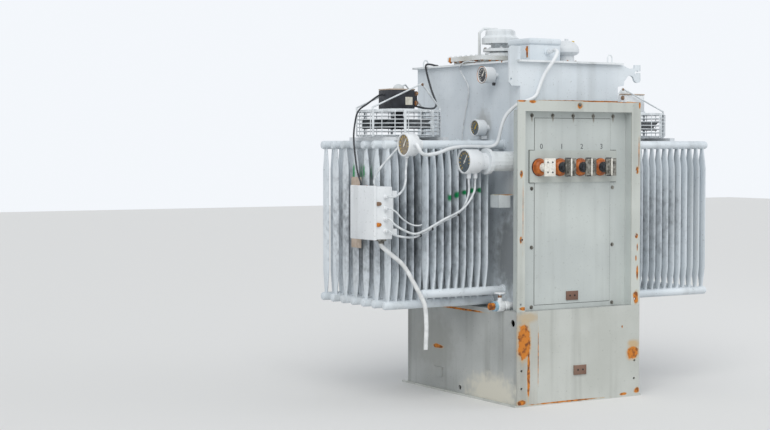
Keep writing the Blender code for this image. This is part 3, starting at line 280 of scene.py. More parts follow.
base_front_paint = outdoor_paint(
    "base front paint", (194, 197, 192), (182, 185, 179), runs=0.22,
    patches=[((0.415, FLANGE_FRONT, 0.27), (0.06, 0.06, 0.045)),
             ((0.45, FLANGE_FRONT, 0.035), (0.025, 0.06, 0.02)),
             ((0.34, FLANGE_FRONT, 0.02), (0.03, 0.06, 0.01)),
             ((0.33, FLANGE_FRONT, 0.44), (0.006, 0.06, 0.01)),
             ((-0.314, FLANGE_FRONT, 0.3), (0.003, 0.06, 0.2)),
             ((-0.1, FLANGE_FRONT, 0.01), (0.3, 0.06, 0.006))],
    marks_and_shade=[((0.42, FLANGE_FRONT, 0.33), (0.05, 0.06, 0.03), STAIN)])
corner_paint = outdoor_paint(
    "corner paint", (192, 194, 188), (178, 178, 170), runs=0.3, chips=0.15,
    patches=[((-0.42, FLANGE_FRONT, 0.39), (0.055, 0.06, 0.14)),
             ((-0.385, FLANGE_FRONT, 0.2), (0.012, 0.06, 0.17)),
             ((-0.44, FLANGE_FRONT, 0.025), (0.04, 0.06, 0.02))],
    marks_and_shade=[((-0.4, FLANGE_FRONT, 0.535), (0.1, 0.06, 0.035), (184, 170, 146))])
# The side of the base is painted darker than its front: painted shade. It is darker still towards the
# rear, under the coolers, also painted shade, and paler low at the front.
base_side_shaded_paint = outdoor_paint(
    "base side shaded paint", (176, 179, 177), (158, 161, 159), runs=0.4, chips=0.2,
    patches=[((-0.47, 0.25, 0.28), (0.06, 0.07, 0.016)), ((-0.47, 0.0, 0.54), (0.05, 0.3, 0.008))],
    marks_and_shade=[((-0.47, -0.35, 0.06), (0.05, 0.3, 0.12), (206, 203, 190)),
           ((-0.47, 0.3, 0.3), (0.05, 0.25, 0.2), (158, 160, 156))])
# Each cooler bank is painted darker in its middle: painted shade between the tubes. The green spots
# are spray paint.
BANK_MIDDLE = 0.77
radiator_paint = outdoor_paint(
    "radiator paint", (220, 227, 232), (204, 212, 218), runs=0.22,
    marks_and_shade=[((side * BANK_MIDDLE, 0.12, 1.08), (0.46, 0.5, 0.46), (104, 111, 118))
           for side in (-1, 1)]
    + [((-1.2, 0.19, 1.39), (0.2, 0.025, 0.07), (0, 132, 72)),
       ((-1.2, 0.07, 1.41), (0.2, 0.02, 0.06), (0, 132, 72))]
    + [((-0.8 + 0.03 * step, -0.36, 1.24 + 0.013 * step - 0.0008 * step ** 2),
        (0.026, 0.035, 0.018), (0, 128, 74)) for step in range(9)])
fitting_paint = outdoor_paint(
    "fitting paint", (232, 235, 237), (214, 218, 221), chips=0.1)
plate_paint = outdoor_paint(
    "bushing plate paint", (192, 198, 193), (182, 187, 182), runs=0.12)
rusty_steel = outdoor_paint(
    "rusty steel", (150, 122, 100), (112, 84, 64), chips=1.6)
brown_pad = outdoor_paint(
    "brown pad", (134, 104, 88), (110, 80, 66), chips=0.9)
print("paints:", len(bpy.data.materials))

# %% [markdown]
# The other finishes are smaller: black and silver metal, cast resin, plastic leads and
# dial faces. Each still has its own grain, so none of them reads as one flat colour.

# %% Small finishes


def small_finish(name, first, second, scale, roughness, metal=0.0, relief=0.15):
    """Two near colours, mixed by noise, with a matching change of gloss."""
    material, tree, shader = recipe(name)
    mask = window(tree, cloud(tree, scale, 6), 0.35, 0.65)
    feed(tree, shader.inputs["Base Color"], layer(tree, mask, first, second))
    spread = window(tree, cloud(tree, scale * 2.5, 3), 0.3, 0.7, roughness, roughness + 0.2)
    feed(tree, shader.inputs["Roughness"], spread)
    shader.inputs["Metallic"].default_value = metal
    bumps(tree, shader, cloud(tree, scale * 6, 3), relief, 0.0008)
    return material


black_enamel = small_finish("black enamel", (34, 36, 42), (50, 53, 60), 22, 0.45)
boot_rubber = small_finish("boot rubber", (26, 28, 32), (52, 56, 62), 60, 0.4)
old_silver = small_finish("old silver", (150, 148, 140), (92, 90, 84), 45, 0.35, 0.7)
cast_resin = small_finish("cast resin", (196, 108, 34), (150, 74, 22), 26, 0.3)
resin_rim = small_finish("resin rim", (110, 48, 30), (70, 34, 26), 40, 0.4)
lead_jacket = small_finish("lead jacket", (216, 220, 222), (192, 197, 200), 30, 0.5)
hose_jacket = small_finish("hose jacket", (226, 228, 228), (204, 206, 206), 24, 0.45)
# A near black finish: dark seams round the panels, and painted shade in holes and in the hose bore.
dark_joint_and_hole_shade = small_finish("dark joint and hole shade", (30, 30, 32), (52, 50, 48), 50, 0.8)
cream_plate = small_finish("cream plate", (224, 220, 206), (206, 202, 188), 40, 0.5)
tan_strip = small_finish("tan strip", (190, 174, 160), (172, 156, 140), 30, 0.6)
slate_dial = small_finish("slate dial", (96, 106, 112), (78, 86, 92), 60, 0.3)
bronze_dial = small_finish("bronze dial", (150, 138, 118), (112, 100, 86), 60, 0.3)
dark_dial = small_finish("dark dial", (44, 44, 48), (60, 60, 64), 60, 0.3)
yellow_mark = small_finish("yellow mark", (214, 180, 60), (192, 158, 60), 80, 0.4)
pale_mark = small_finish("pale mark", (236, 234, 226), (214, 210, 200), 80, 0.4)
dull_ink = small_finish("dull ink", (62, 66, 70), (92, 96, 98), 90, 0.6)
blue_ring = small_finish("blue ring", (160, 196, 214), (136, 170, 190), 50, 0.4)
cage_white = small_finish("cage white", (226, 231, 234), (200, 205, 208), 20, 0.4)
print("finishes:", len(bpy.data.materials))

# %% [markdown]
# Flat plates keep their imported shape, which is right already, and only change finish.

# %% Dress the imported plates


def dress(material, *names):
    """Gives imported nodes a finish."""
    for name in names:
        for slot in frame["nodes"][name].material_slots:
            slot.material = material
    print(material.name, "on", len(names), "nodes")


dress(tank_paint, "tank_shell", "lifting_plate_left", "lifting_plate_right")
dress(bracket_paint, "side_bracket")
dress(cover_paint, "tank_cover", "hand_hole_cap", "level_gauge_pipe")
dress(hand_hole_paint, "hand_hole_plate")
dress(flange_paint, "lv_flange_frame")
dress(recess_paint, "lv_recess_frame", "lv_recess_back")
dress(plate_paint, "bushing_plate")
dress(base_front_paint, "base_front_plate", "base_bottom_plate")
dress(corner_paint, "base_front_corner")
dress(base_side_shaded_paint, "base_walls")
dress(fitting_paint, "junction_bracket", "fan_left_rails", "fan_right_rails")

# %% [markdown]
# A bmesh is a small mesh that operators shape. Every piece here is a few of them joined:
# blocks with softened edges, turned profiles, tubes along a route and bolt heads.

# %% Helpers for shapes
FORWARD = (0, -1, 0)
LEFTWARD = (-1, 0, 0)
UPWARD = (0, 0, 1)
DOWNWARD = (0, 0, -1)
MERGE_DISTANCE = 1e-6


def join(bm, part, tint=0, move=None):
    """Adds a part to a piece and lets it go. Its faces take the tint, or keep theirs if None."""
    if move is not None:
        bmesh.ops.transform(part, matrix=move, verts=part.verts)
    if tint is not None:
        for face in part.faces:
            face.material_index = tint
    mesh = bpy.data.meshes.new("part")
    part.to_mesh(mesh)
    part.free()
    bm.from_mesh(mesh)
    bpy.data.meshes.remove(mesh)


def finish_piece(name, bm, materials, replaces=(), sharp=38):
    """Makes the finished object, soft where it curves, riding on the one body."""
    mesh = bpy.data.meshes.new(name)
    bm.to_mesh(mesh)
    bm.free()
    for material in materials:
        mesh.materials.append(material)
    for polygon in mesh.polygons:
        polygon.use_smooth = True
    mesh.set_sharp_from_angle(angle=math.radians(sharp))
    piece = bpy.data.objects.new(name, mesh)
    bpy.context.scene.collection.objects.link(piece)
    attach(piece, root)
    if replaces:
        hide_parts(*replaces)
    print(name, len(mesh.polygons), "faces")
    return piece


def block(low, high, edge=0.002, segments=2):
    """A box between two corners, with softened edges."""
    part = bmesh.new()
    bmesh.ops.create_cube(part, size=1.0)
    low, high = Vector(low), Vector(high)
    bmesh.ops.scale(part, vec=high - low, verts=part.verts)
    bmesh.ops.translate(part, vec=(low + high) / 2, verts=part.verts)
    if edge:
        bmesh.ops.bevel(part, geom=part.edges[:], offset=edge, offset_type="OFFSET",
                        segments=segments, profile=0.5, affect="EDGES", material=-1)
    return part


def turned(profile, steps=32):
    """A closed turned shape from (radius, height) pairs, about its own Z axis."""
    part = bmesh.new()
    points = [part.verts.new((radius, 0, height)) for radius, height in profile]
    edges = [part.edges.new(pair) for pair in zip(points, points[1:])]
    bmesh.ops.spin(part, geom=points + edges, cent=(0, 0, 0), axis=UPWARD, dvec=(0, 0, 0),
                   angle=math.tau, steps=steps, use_merge=True, use_duplicate=False)
    bmesh.ops.remove_doubles(part, verts=part.verts, dist=MERGE_DISTANCE)
    bmesh.ops.recalc_face_normals(part, faces=part.faces)
    return part


def facing(place, direction):
    """Turns a shape's Z axis to a direction and puts it in its place."""
    turn = Vector(direction).to_track_quat("Z", "X").to_matrix().to_4x4()
    return Matrix.Translation(place) @ turn


def bolt(bm, place, direction, radius=0.008, tint=0):
    """A six-sided head on a washer."""
    washer = turned([(0, 0), (radius * 1.5, 0), (radius * 1.5, radius * 0.25), (0, radius * 0.25)],
                    14)
    join(bm, washer, tint, facing(place, direction))
    head = bmesh.new()
    bmesh.ops.create_cone(head, cap_ends=True, segments=6, radius1=radius, radius2=radius * 0.93,
                          depth=radius * 0.8)
    bmesh.ops.translate(head, vec=(0, 0, radius * 0.6), verts=head.verts)
    join(bm, head, tint, facing(place, direction))


def ring(radius, height, wire, steps=40, sides=6):
    """A thin round wire bent into a level ring."""
    part = bmesh.new()
    bmesh.ops.create_circle(part, segments=sides, radius=wire)
    bmesh.ops.rotate(part, cent=(0, 0, 0), matrix=Matrix.Rotation(math.radians(90), 3, "X"),
                     verts=part.verts)
    bmesh.ops.translate(part, vec=(radius, 0, height), verts=part.verts)
    bmesh.ops.spin(part, geom=part.verts[:] + part.edges[:], cent=(0, 0, 0), axis=UPWARD,
                   dvec=(0, 0, 0), angle=math.tau, steps=steps, use_merge=True,
                   use_duplicate=False)
    bmesh.ops.remove_doubles(part, verts=part.verts, dist=MERGE_DISTANCE)
    bmesh.ops.recalc_face_normals(part, faces=part.faces)
    return part


STRAIGHT_END_SHARE = 0.35


def smooth_route(points, count):
    """Places along a smooth curve through chosen points, with straight ends."""
    points = [Vector(point) for point in points]
    ends = [points[0] * 2 - points[1]] + points + [points[-1] * 2 - points[-2]]
    spans = len(points) - 1
    places = []
    for step in range(count):
        share = step / (count - 1) * spans
        index = min(int(share), spans - 1)
        local = share - index
        p0, p1, p2, p3 = ends[index:index + 4]
        places.append(0.5 * (
            (2 * p1) + (p2 - p0) * local
            + (2 * p0 - 5 * p1 + 4 * p2 - p3) * local ** 2
            + (3 * p1 - p0 - 3 * p2 + p3) * local ** 3))
    places[1] = points[0].lerp(points[1], STRAIGHT_END_SHARE)
    places[-2] = points[-1].lerp(points[-2], STRAIGHT_END_SHARE)
    return places


def tube(places, radius, rounding=3):
    """A closed round tube along places, swept by a curve and made a mesh."""
    curve = bpy.data.curves.new("run", "CURVE")
    curve.dimensions = "3D"
    curve.bevel_depth = radius
    curve.bevel_resolution = rounding
    curve.use_fill_caps = True
    spline = curve.splines.new("POLY")
    spline.points.add(len(places) - 1)
    for point, place in zip(spline.points, places):
        point.co = (*place, 1.0)
    sweep = bpy.data.objects.new("run", curve)
    mesh = bpy.data.meshes.new_from_object(sweep)
    bpy.data.objects.remove(sweep)
    part = bmesh.new()
    part.from_mesh(mesh)
    bpy.data.meshes.remove(mesh)
    bmesh.ops.remove_doubles(part, verts=part.verts, dist=MERGE_DISTANCE)
    bmesh.ops.recalc_face_normals(part, faces=part.faces)
    return part


print("shape helpers ready")

# %% [markdown]
# A flexible conduit hangs from the underside of the junction box. Its end is open, as it
# is on the real one. It is a tube swept along the same points as the imported solid, and
# its last face is inset and pushed in, so that the bore is a real hollow. Its walls and end
# are near black: painted shade inside the hollow.

# %% Cords
FRAME_SHIFT = Vector((-0.468, -0.613, 0.0))


def in_frame(points):
    """Points measured from the base's front left corner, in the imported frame."""
    return [Vector(point) + FRAME_SHIFT for point in points]


def run_length(path):
    """The length along a path."""
    return sum((second - first).length for first, second in zip(path, path[1:]))


HOSE_RADIUS = 0.013
HOSE_WALL = 0.0025
HOSE_BORE_DEPTH = 0.04
hose_path = smooth_route(in_frame([
    (-0.74, 0.34, 1.0062), (-0.74, 0.34, 0.975), (-0.697, 0.336, 0.935),
    (-0.6046, 0.315, 0.8555), (-0.566, 0.262, 0.7561), (-0.533, 0.235, 0.6777),
    (-0.5042, 0.23, 0.6126), (-0.4947, 0.23, 0.4978), (-0.4991, 0.23, 0.3564)]), 41)
bm = tube(hose_path, HOSE_RADIUS, 5)
tip = min(bm.faces, key=lambda face: (face.calc_center_median() - hose_path[-1]).length)
bmesh.ops.inset_individual(bm, faces=[tip], thickness=HOSE_WALL)
pushed = bmesh.ops.extrude_discrete_faces(bm, faces=[tip])["faces"]
inward = (hose_path[-2] - hose_path[-1]).normalized()
bmesh.ops.translate(bm, vec=inward * HOSE_BORE_DEPTH,
                    verts=list({vert for face in pushed for vert in face.verts}))
# The bore takes the near black finish: painted shade inside the hollow.
for face in pushed:
    face.material_index = 1
    for edge in face.edges:
        for side in edge.link_faces:
            side.material_index = 1
hose_piece = finish_piece("drop_hose", bm, [hose_jacket, dark_joint_and_hole_shade], ["hose"])

bm = bmesh.new()
nut_profile = [(0, -0.022), (0.015, -0.022), (0.0165, -0.02), (0.0165, -0.012), (0.019, -0.011),
               (0.019, 0.0), (0, 0.0)]
join(bm, turned(nut_profile, 24), 0, Matrix.Translation(hose_path[0]))
hose_nut = finish_piece("drop_hose_nut", bm, [old_silver])
print("hose length:", round(run_length(hose_path), 3))

# %% [markdown]
# Four white leads join the box to its gauges, hanging a little below their ends. A rigid
# painted conduit runs from the outer gauge along the wall and up to the box on the cover.

# %% Leads and conduit
LEAD_RADIUS = 0.0065
CONDUIT_RADIUS = 0.011


def lead(name, points, node, radius=LEAD_RADIUS, material=None, count=49):
    """A flexible lead between two fittings."""
    path = smooth_route(in_frame(points), count)
    finish = material or lead_jacket
    piece = finish_piece(name, tube(path, radius, 3), [finish],
                         [node] if node else ())
    return path


lead("header_gauge_lead", [
    (-0.6, 0.283, 1.494), (-0.6, 0.283, 1.465), (-0.616, 0.266, 1.41), (-0.628, 0.247, 1.358),
    (-0.6502, 0.238, 1.305), (-0.7, 0.228, 1.268), (-0.7399, 0.235, 1.26),
    (-0.7399, 0.2615, 1.26)], "lead_header_gauge")
level_path = lead("level_gauge_lead", [
    (-0.7399, 0.2615, 1.061), (-0.7399, 0.238, 1.061), (-0.7047, 0.232, 1.036),
    (-0.5915, 0.232, 1.022), (-0.5182, 0.228, 1.0464), (-0.3987, 0.22, 1.1058),
    (-0.2764, 0.2, 1.1685), (-0.2323, 0.18, 1.2663), (-0.2365, 0.17, 1.35),
    (-0.2365, 0.17, 1.3906)], "lead_level_gauge")
lead("level_gauge_second_lead", [
    (-0.7399, 0.2615, 1.131), (-0.7399, 0.238, 1.131), (-0.7047, 0.218, 1.09),
    (-0.6, 0.212, 1.045), (-0.5182, 0.211, 1.062), (-0.3987, 0.203, 1.121), (-0.27, 0.183, 1.184),
    (-0.205, 0.165, 1.275), (-0.19, 0.17, 1.35), (-0.19, 0.17, 1.3906)],
    "lead_level_gauge_second")
lead("box_top_lead", [
    (-0.75, 0.4, 1.3253), (-0.75, 0.4, 1.36), (-0.722, 0.39, 1.42), (-0.662, 0.376, 1.49),
    (-0.612, 0.372, 1.54), (-0.587, 0.37, 1.565), (-0.585, 0.3542, 1.565)], "lead_box_top")

conduit_path = smooth_route(in_frame([
    (-0.585, 0.2118, 1.565), (-0.585, 0.192, 1.565), (-0.578, 0.178, 1.54), (-0.556, 0.184, 1.515),
    (-0.509, 0.2, 1.506), (-0.42, 0.215, 1.517), (-0.34, 0.228, 1.54), (-0.25, 0.232, 1.553),
    (-0.12, 0.232, 1.553), (-0.04, 0.228, 1.553), (0.0, 0.212, 1.58), (0.005, 0.18, 1.667),
    (0.016, 0.148, 1.739), (0.055, 0.096, 1.801), (0.12, 0.092, 1.825), (0.19, 0.09, 1.855),
    (0.218, 0.088, 1.908), (0.25, 0.075, 1.99), (0.2995, 0.05, 2.075), (0.34, 0.07, 2.125),
    (0.375, 0.14, 2.142), (0.3884, 0.19, 2.136), (0.3884, 0.2396, 2.136)]), 97)
bm = tube(conduit_path, CONDUIT_RADIUS, 4)
finish_piece("wall_conduit", bm, [fitting_paint], ["sensor_conduit"])

# %% [markdown]
# A plain pale floor and a soft overcast light: one broad lamp above the camera side, a
# weaker one from the right, and a pale world that fills the rest.

# %% Floor and light
FLOOR_SIZE = 60.0
FLOOR_COLOUR = (0.74, 0.74, 0.73)

floor_mesh = bpy.data.meshes.new("floor")
bm = bmesh.new()
bmesh.ops.create_grid(bm, x_segments=1, y_segments=1, size=FLOOR_SIZE / 2)
bm.to_mesh(floor_mesh)
bm.free()
floor = bpy.data.objects.new("floor", floor_mesh)
bpy.context.scene.collection.objects.link(floor)
floor_material, floor_tree, floor_shader = recipe("floor")
floor_shader.inputs["Base Color"].default_value = (*FLOOR_COLOUR, 1.0)
floor_shader.inputs["Roughness"].default_value = 0.9
floor_mesh.materials.append(floor_material)

world = bpy.data.worlds.new("sky")
world.use_nodes = True
world.node_tree.nodes["Background"].inputs["Color"].default_value = (0.93, 0.96, 1.0, 1.0)
LIGHT_OF_SKY = 0.62
SEEN_SKY = 0.97
rays = world.node_tree.nodes.new("ShaderNodeLightPath")
seen = reckon(world.node_tree, "MAXIMUM", rays.outputs["Is Camera Ray"],
              rays.outputs["Is Glossy Ray"])
seen = reckon(world.node_tree, "MAXIMUM", seen, rays.outputs["Is Transmission Ray"])
feed(world.node_tree, world.node_tree.nodes["Background"].inputs["Strength"],
     window(world.node_tree, seen, 0.0, 1.0, LIGHT_OF_SKY, SEEN_SKY))
bpy.context.scene.world = world


def add_lamp(name, kind, place, energy, colour):
    """A lamp that looks at the middle of the object."""
    data = bpy.data.lights.new(name, kind)
    data.energy = energy
    data.color = colour
    lamp = bpy.data.objects.new(name, data)
    lamp.location = place
    lamp.rotation_euler = (Vector(UPWARD) - Vector(place)).to_track_quat("-Z", "Y").to_euler()
    bpy.context.scene.collection.objects.link(lamp)
    return data


sky_sun = add_lamp("overcast sun", "SUN", (-4.0, -5.5, 7.0), 1.55, (1.0, 0.99, 0.97))
sky_sun.angle = math.radians(50)
fill = add_lamp("fill", "AREA", (7.0, -4.0, 5.0), 90, (0.95, 0.97, 1.0))
fill.shape = "SQUARE"
fill.size = 5.0
bpy.context.scene.view_settings.view_transform = "Standard"

# %% [markdown]
# Each cooler is two level pipes with flat oval tubes between them. A tube narrows to a
# neck where it enters a pipe. One oval ring is raised level by level, which gives the
# taper without any sculpting, and the same tube is set along the row at its pitch.

# %% Radiators
TUBE_THICK = 0.013
TUBE_WIDE = 0.073
TUBE_PITCH = 0.0533
NECK_WIDE = 0.03
HEADER_RADIUS = 0.026
TOP_HEADER = 1.565
LOW_HEADER = 0.609
WALL = 0.374


def oval_tube(levels, sides=12):
    """A flat tube through levels of (height, thickness, width)."""
    part = bmesh.new()
    height, thick, wide = levels[0]
    bmesh.ops.create_circle(part, cap_ends=True, segments=sides, radius=thick / 2)
    bmesh.ops.rotate(part, cent=(0, 0, 0), matrix=Matrix.Rotation(math.pi / sides, 3, "Z"),
                     verts=part.verts)
    for vert in part.verts:
        vert.co.y += math.copysign((wide - thick) / 2, vert.co.y)
        vert.co.z = height
    top = part.faces[:]
    for (low, thick, wide), (high, next_thick, next_wide) in zip(levels, levels[1:]):
        raised = bmesh.ops.extrude_face_region(part, geom=top)["geom"]
        verts = [item for item in raised if isinstance(item, bmesh.types.BMVert)]
        top = [item for item in raised if isinstance(item, bmesh.types.BMFace)]
        bmesh.ops.scale(part, vec=(next_thick / thick, next_wide / wide, 1), verts=verts)
        bmesh.ops.translate(part, vec=(0, 0, high - low), verts=verts)
    bmesh.ops.recalc_face_normals(part, faces=part.faces)
    return part


def radiator(name, node, side, across, low_header, first, count):
    """One row of tubes with both its pipes, on the left (-1) or right (1) wall."""
    length = first + (count - 1) * TUBE_PITCH + 0.032
    bm = bmesh.new()
    for height in (low_header, TOP_HEADER):
        profile = [(0, 0), (HEADER_RADIUS + 0.008, 0), (HEADER_RADIUS + 0.008, 0.008),
                   (HEADER_RADIUS, 0.012), (HEADER_RADIUS, length - 0.012),
                   (HEADER_RADIUS * 0.86, length - 0.004), (HEADER_RADIUS * 0.4, length),
                   (0, length)]
        join(bm, turned(profile, 20), 0, facing((side * WALL, across, height), (side, 0, 0)))
    levels = [(low_header, 0.015, NECK_WIDE), (low_header + 0.034, 0.014, NECK_WIDE),
              (low_header + 0.1, 0.0115, 0.056), (low_header + 0.162, TUBE_THICK, TUBE_WIDE),
              (TOP_HEADER - 0.152, TUBE_THICK, TUBE_WIDE), (TOP_HEADER - 0.095, 0.0115, 0.056),
              (TOP_HEADER - 0.034, 0.014, NECK_WIDE), (TOP_HEADER, 0.015, NECK_WIDE)]
    for step in range(count):
        place = (side * (WALL + first + step * TUBE_PITCH), across, 0)
        join(bm, oval_tube(levels), 0, Matrix.Translation(place))
    finish_piece(name, bm, [radiator_paint], [node])


radiator("left_cooler_1", "radiator_left_1", -1, -0.33, 0.68, 0.138, 9)
for row in range(7):
    radiator(f"left_cooler_{row + 2}", f"radiator_left_{row + 2}", -1, -0.205 + 0.125 * row,
             LOW_HEADER, 0.108, 13)
for row in range(8):
    radiator(f"right_cooler_{row + 1}", f"radiator_right_{row + 1}", 1, -0.363 + 0.125 * row,
             LOW_HEADER, 0.135, 14)

# %% [markdown]
# A dial gauge is a turned drum with a raised rim and a sunken face. Its ticks and its
# pointer are thin blocks on the face, so that they stand out a little.

# %% Gauges
DIAL_SHARE = 0.86
DIAL_DEPTH = 0.007
TICKS = 11
FIRST_TICK_ANGLE = 215
TICK_ANGLE = 25


def gauge(back, centre, radius, neck, length, face, tick, hand):
    """A drum on a neck. It looks to -X, from its back at the wall or pipe."""
    bm = bmesh.new()
    inner = radius * DIAL_SHARE
    drum = turned([
        (0, 0), (neck, 0), (neck, length * 0.3), (radius * 0.9, length * 0.34),
        (radius * 0.97, length * 0.4), (radius * 0.97, length - 0.014), (radius, length - 0.012),
        (radius, length - 0.003), (radius * 0.97, length), (inner, length),
        (inner, length - DIAL_DEPTH), (0, length - DIAL_DEPTH)], 40)
    for item in drum.faces:
        middle = item.calc_center_median()
        item.material_index = int(middle.z > length - 0.0075 and middle.xy.length < inner * 0.99)
    join(bm, drum, None, facing((back, *centre), LEFTWARD))
    dial = back - length + DIAL_DEPTH
    for step in range(TICKS):
        angle = math.radians(FIRST_TICK_ANGLE + TICK_ANGLE * step)
        spoke = block((-0.0007, -0.0022, inner * 0.66), (0.0007, 0.0022, inner * 0.9), 0)
        turn = Matrix.Translation((dial, *centre)) @ Matrix.Rotation(angle, 4, "X")
        join(bm, spoke, 2, turn)
    for angle, reach in ((35, 0.7), (35, -0.25)):
        pointer = block((-0.0016, -0.003, 0), (0.0, 0.003, inner * abs(reach)), 0)
        turned_by = math.radians(angle + (180 if reach < 0 else 0))
        turn = Matrix.Translation((dial - 0.001, *centre)) @ Matrix.Rotation(turned_by, 4, "X")
        join(bm, pointer, 3, turn)
    hub = turned([(0, 0), (0.006, 0), (0.006, 0.003), (0, 0.003)], 16)
    join(bm, hub, 3, facing((dial, *centre), LEFTWARD))
    return bm, [fitting_paint, face, tick, hand]


bm, finishes = gauge(-0.59, (-0.443, 1.466), 0.0745, 0.05, 0.15,
                     slate_dial, yellow_mark, pale_mark)
for across in (-0.458, -0.428):
    gland = turned([(0, 0), (0.014, 0), (0.014, 0.03), (0.010, 0.034), (0, 0.034)], 16)
    x = -0.7045 if across < -0.44 else -0.658
    join(bm, gland, 0, facing((x, -0.443, 1.397), DOWNWARD))
finish_piece("level_gauge_dial", bm, finishes, ["level_gauge"])

bm, finishes = gauge(-0.971, (-0.33, 1.565), 0.07, 0.03, 0.12,
                     bronze_dial, yellow_mark, pale_mark)
gland = turned([(0, 0), (0.013, 0), (0.013, 0.028), (0.009, 0.034), (0, 0.034)], 16)
join(bm, gland, 0, facing((-1.068, -0.33, 1.52), DOWNWARD))
finish_piece("header_gauge_dial", bm, finishes, ["header_gauge"])

bm, finishes = gauge(-0.374, (-0.164, 1.67), 0.0525, 0.02, 0.1,
                     slate_dial, yellow_mark, yellow_mark)
join(bm, block((-0.43, -0.18, 1.6), (-0.39, -0.148, 1.622), 0.003), 0)
finish_piece("wall_gauge_low_dial", bm, finishes, ["wall_gauge_low"])

bm, finishes = gauge(-0.374, (-0.265, 1.99), 0.051, 0.014, 0.115,
                     dark_dial, pale_mark, pale_mark)
knob = turned([(0, 0), (0.011, 0), (0.012, 0.008), (0.009, 0.018), (0, 0.019)], 16)
join(bm, knob, 1, facing((-0.4, -0.265, 1.945), DOWNWARD))
join(bm, tube([(-0.4, -0.265, 1.99), (-0.4, -0.265, 1.94)], 0.006), 0)
rim = ring(0.0505, 0, 0.0022, 40)
join(bm, rim, 4, facing((-0.4885, -0.265, 1.99), LEFTWARD))
finish_piece("wall_gauge_high_dial", bm, finishes + [rusty_steel],
             ["wall_gauge_high"])

# %% [markdown]
# Four cast resin bushings carry the low-voltage terminals. Each is turned in one piece,
# with a dark rim. The first still has a bare white pad, and the other three have black
# boots and bolted silver connectors.

# %% Bushings
BUSHING_HEIGHT = 1.43
PLATE_FACE = -0.559
SPADE_FACE = -0.636
for number in range(4):
    middle = -0.274 + 0.155 * number
    bm = bmesh.new()
    resin = turned([(0, 0), (0.0525, 0), (0.0525, 0.012), (0.047, 0.014), (0.047, 0.019),
                    (0.0455, 0.026), (0.037, 0.034), (0.028, 0.037), (0, 0.037)], 40)
    join(bm, resin, 0, facing((middle, PLATE_FACE, BUSHING_HEIGHT), FORWARD))
    rim = turned([(0, -0.002), (0.054, -0.002), (0.054, 0.008), (0.0528, 0.01), (0, 0.01)], 40)
    join(bm, rim, 1, facing((middle, PLATE_FACE, BUSHING_HEIGHT), FORWARD))
    stud = turned([(0, 0), (0.026, 0), (0.026, 0.02), (0.021, 0.036), (0, 0.036)], 24)
    join(bm, stud, 2 if number else 3,
         facing((middle + 0.004, PLATE_FACE - 0.034, BUSHING_HEIGHT), FORWARD))
    low = (middle - 0.012, SPADE_FACE, BUSHING_HEIGHT - 0.054)
    high = (middle + 0.068, SPADE_FACE + 0.012, BUSHING_HEIGHT + 0.054)
    join(bm, block(low, high, 0.002), 3 if number == 0 else 4)
    for across in (0.01, 0.046):
        for rise in (-0.03, 0.03):
            place = (middle + across, SPADE_FACE, BUSHING_HEIGHT + rise)
            if number:
                bolt(bm, place, FORWARD, 0.006, 4)
            else:
                # On the bare pad, thin near black discs stand for the four holes: painted shade.
                hole = turned([(0, 0), (0.0055, 0), (0.0055, 0.0006), (0, 0.0006)], 14)
                join(bm, hole, 2, facing(place, FORWARD))
    if number:
        boot = turned([(0, 0), (0.03, 0), (0.032, 0.008), (0.031, 0.024), (0.025, 0.04), (0, 0.04)],
                      28)
        join(bm, boot, 2, facing((middle - 0.004, PLATE_FACE - 0.03, BUSHING_HEIGHT), FORWARD))
        bar = block((middle + 0.024, SPADE_FACE - 0.006, BUSHING_HEIGHT - 0.052),
                    (middle + 0.034, SPADE_FACE, BUSHING_HEIGHT + 0.052), 0.002)
        join(bm, bar, 3)
        for rise in (-0.056, 0.05):
            strap = block((middle - 0.008, SPADE_FACE - 0.001, BUSHING_HEIGHT + rise),
                          (middle + 0.03, SPADE_FACE + 0.014, BUSHING_HEIGHT + rise + 0.008), 0.003)
            join(bm, strap, 2)
    finish_piece(f"bushing_{number + 1}_dressed", bm,
                 [cast_resin, resin_rim, boot_rubber, pale_mark, old_silver],
                 [f"bushing_{number + 1}"])

# %% [markdown]
# The recess has a thin inner panel, whose edges give the real seams, and bolts that
# hold it. Plain numerals stand over the bushings, as text made into a thin mesh.

# %% Front panel
PANEL_FACE = -0.552
BOLT_COLUMNS = (-0.32, 0.298)
bm = bmesh.new()
join(bm, block((-0.3, PANEL_FACE, 0.6), (0.277, PANEL_FACE + 0.004, 1.725), 0.001, 1), 0)
join(bm, block((-0.302, -0.5496, 0.598), (0.279, -0.5486, 1.727), 0), 2)
join(bm, block((-0.344, -0.5505, 1.335), (0.325, -0.5495, 1.534), 0), 2)
for step in range(5):
    bolt(bm, (-0.32 + 0.155 * step, -0.549, 1.741), FORWARD, 0.008, 1)
for x in BOLT_COLUMNS:
    for z in (1.302, 0.948, 0.588):
        bolt(bm, (x, -0.549, z), FORWARD, 0.008, 1)
for low, high in (((-0.061, -0.5585, 0.618), (0.029, -0.551, 0.674)),
                  ((-0.048, -0.6222, 0.167), (0.0455, -0.6125, 0.226))):
    join(bm, block(low, high, 0.0015), 3)
    # Each pad gets two thin near black discs for its holes: painted shade.
    for share in (0.3, 0.7):
        spot = (low[0] + (high[0] - low[0]) * share, low[1], (low[2] + high[2]) / 2)
        hole = turned([(0, 0), (0.006, 0), (0.006, 0.0006), (0, 0.0006)], 14)
        join(bm, hole, 2, facing(spot, FORWARD))
bolt(bm, (-0.007, -0.613, 1.807), FORWARD, 0.008, 1)
finish_piece("recess_panel", bm, [recess_paint, old_silver, dark_joint_and_hole_shade, brown_pad])

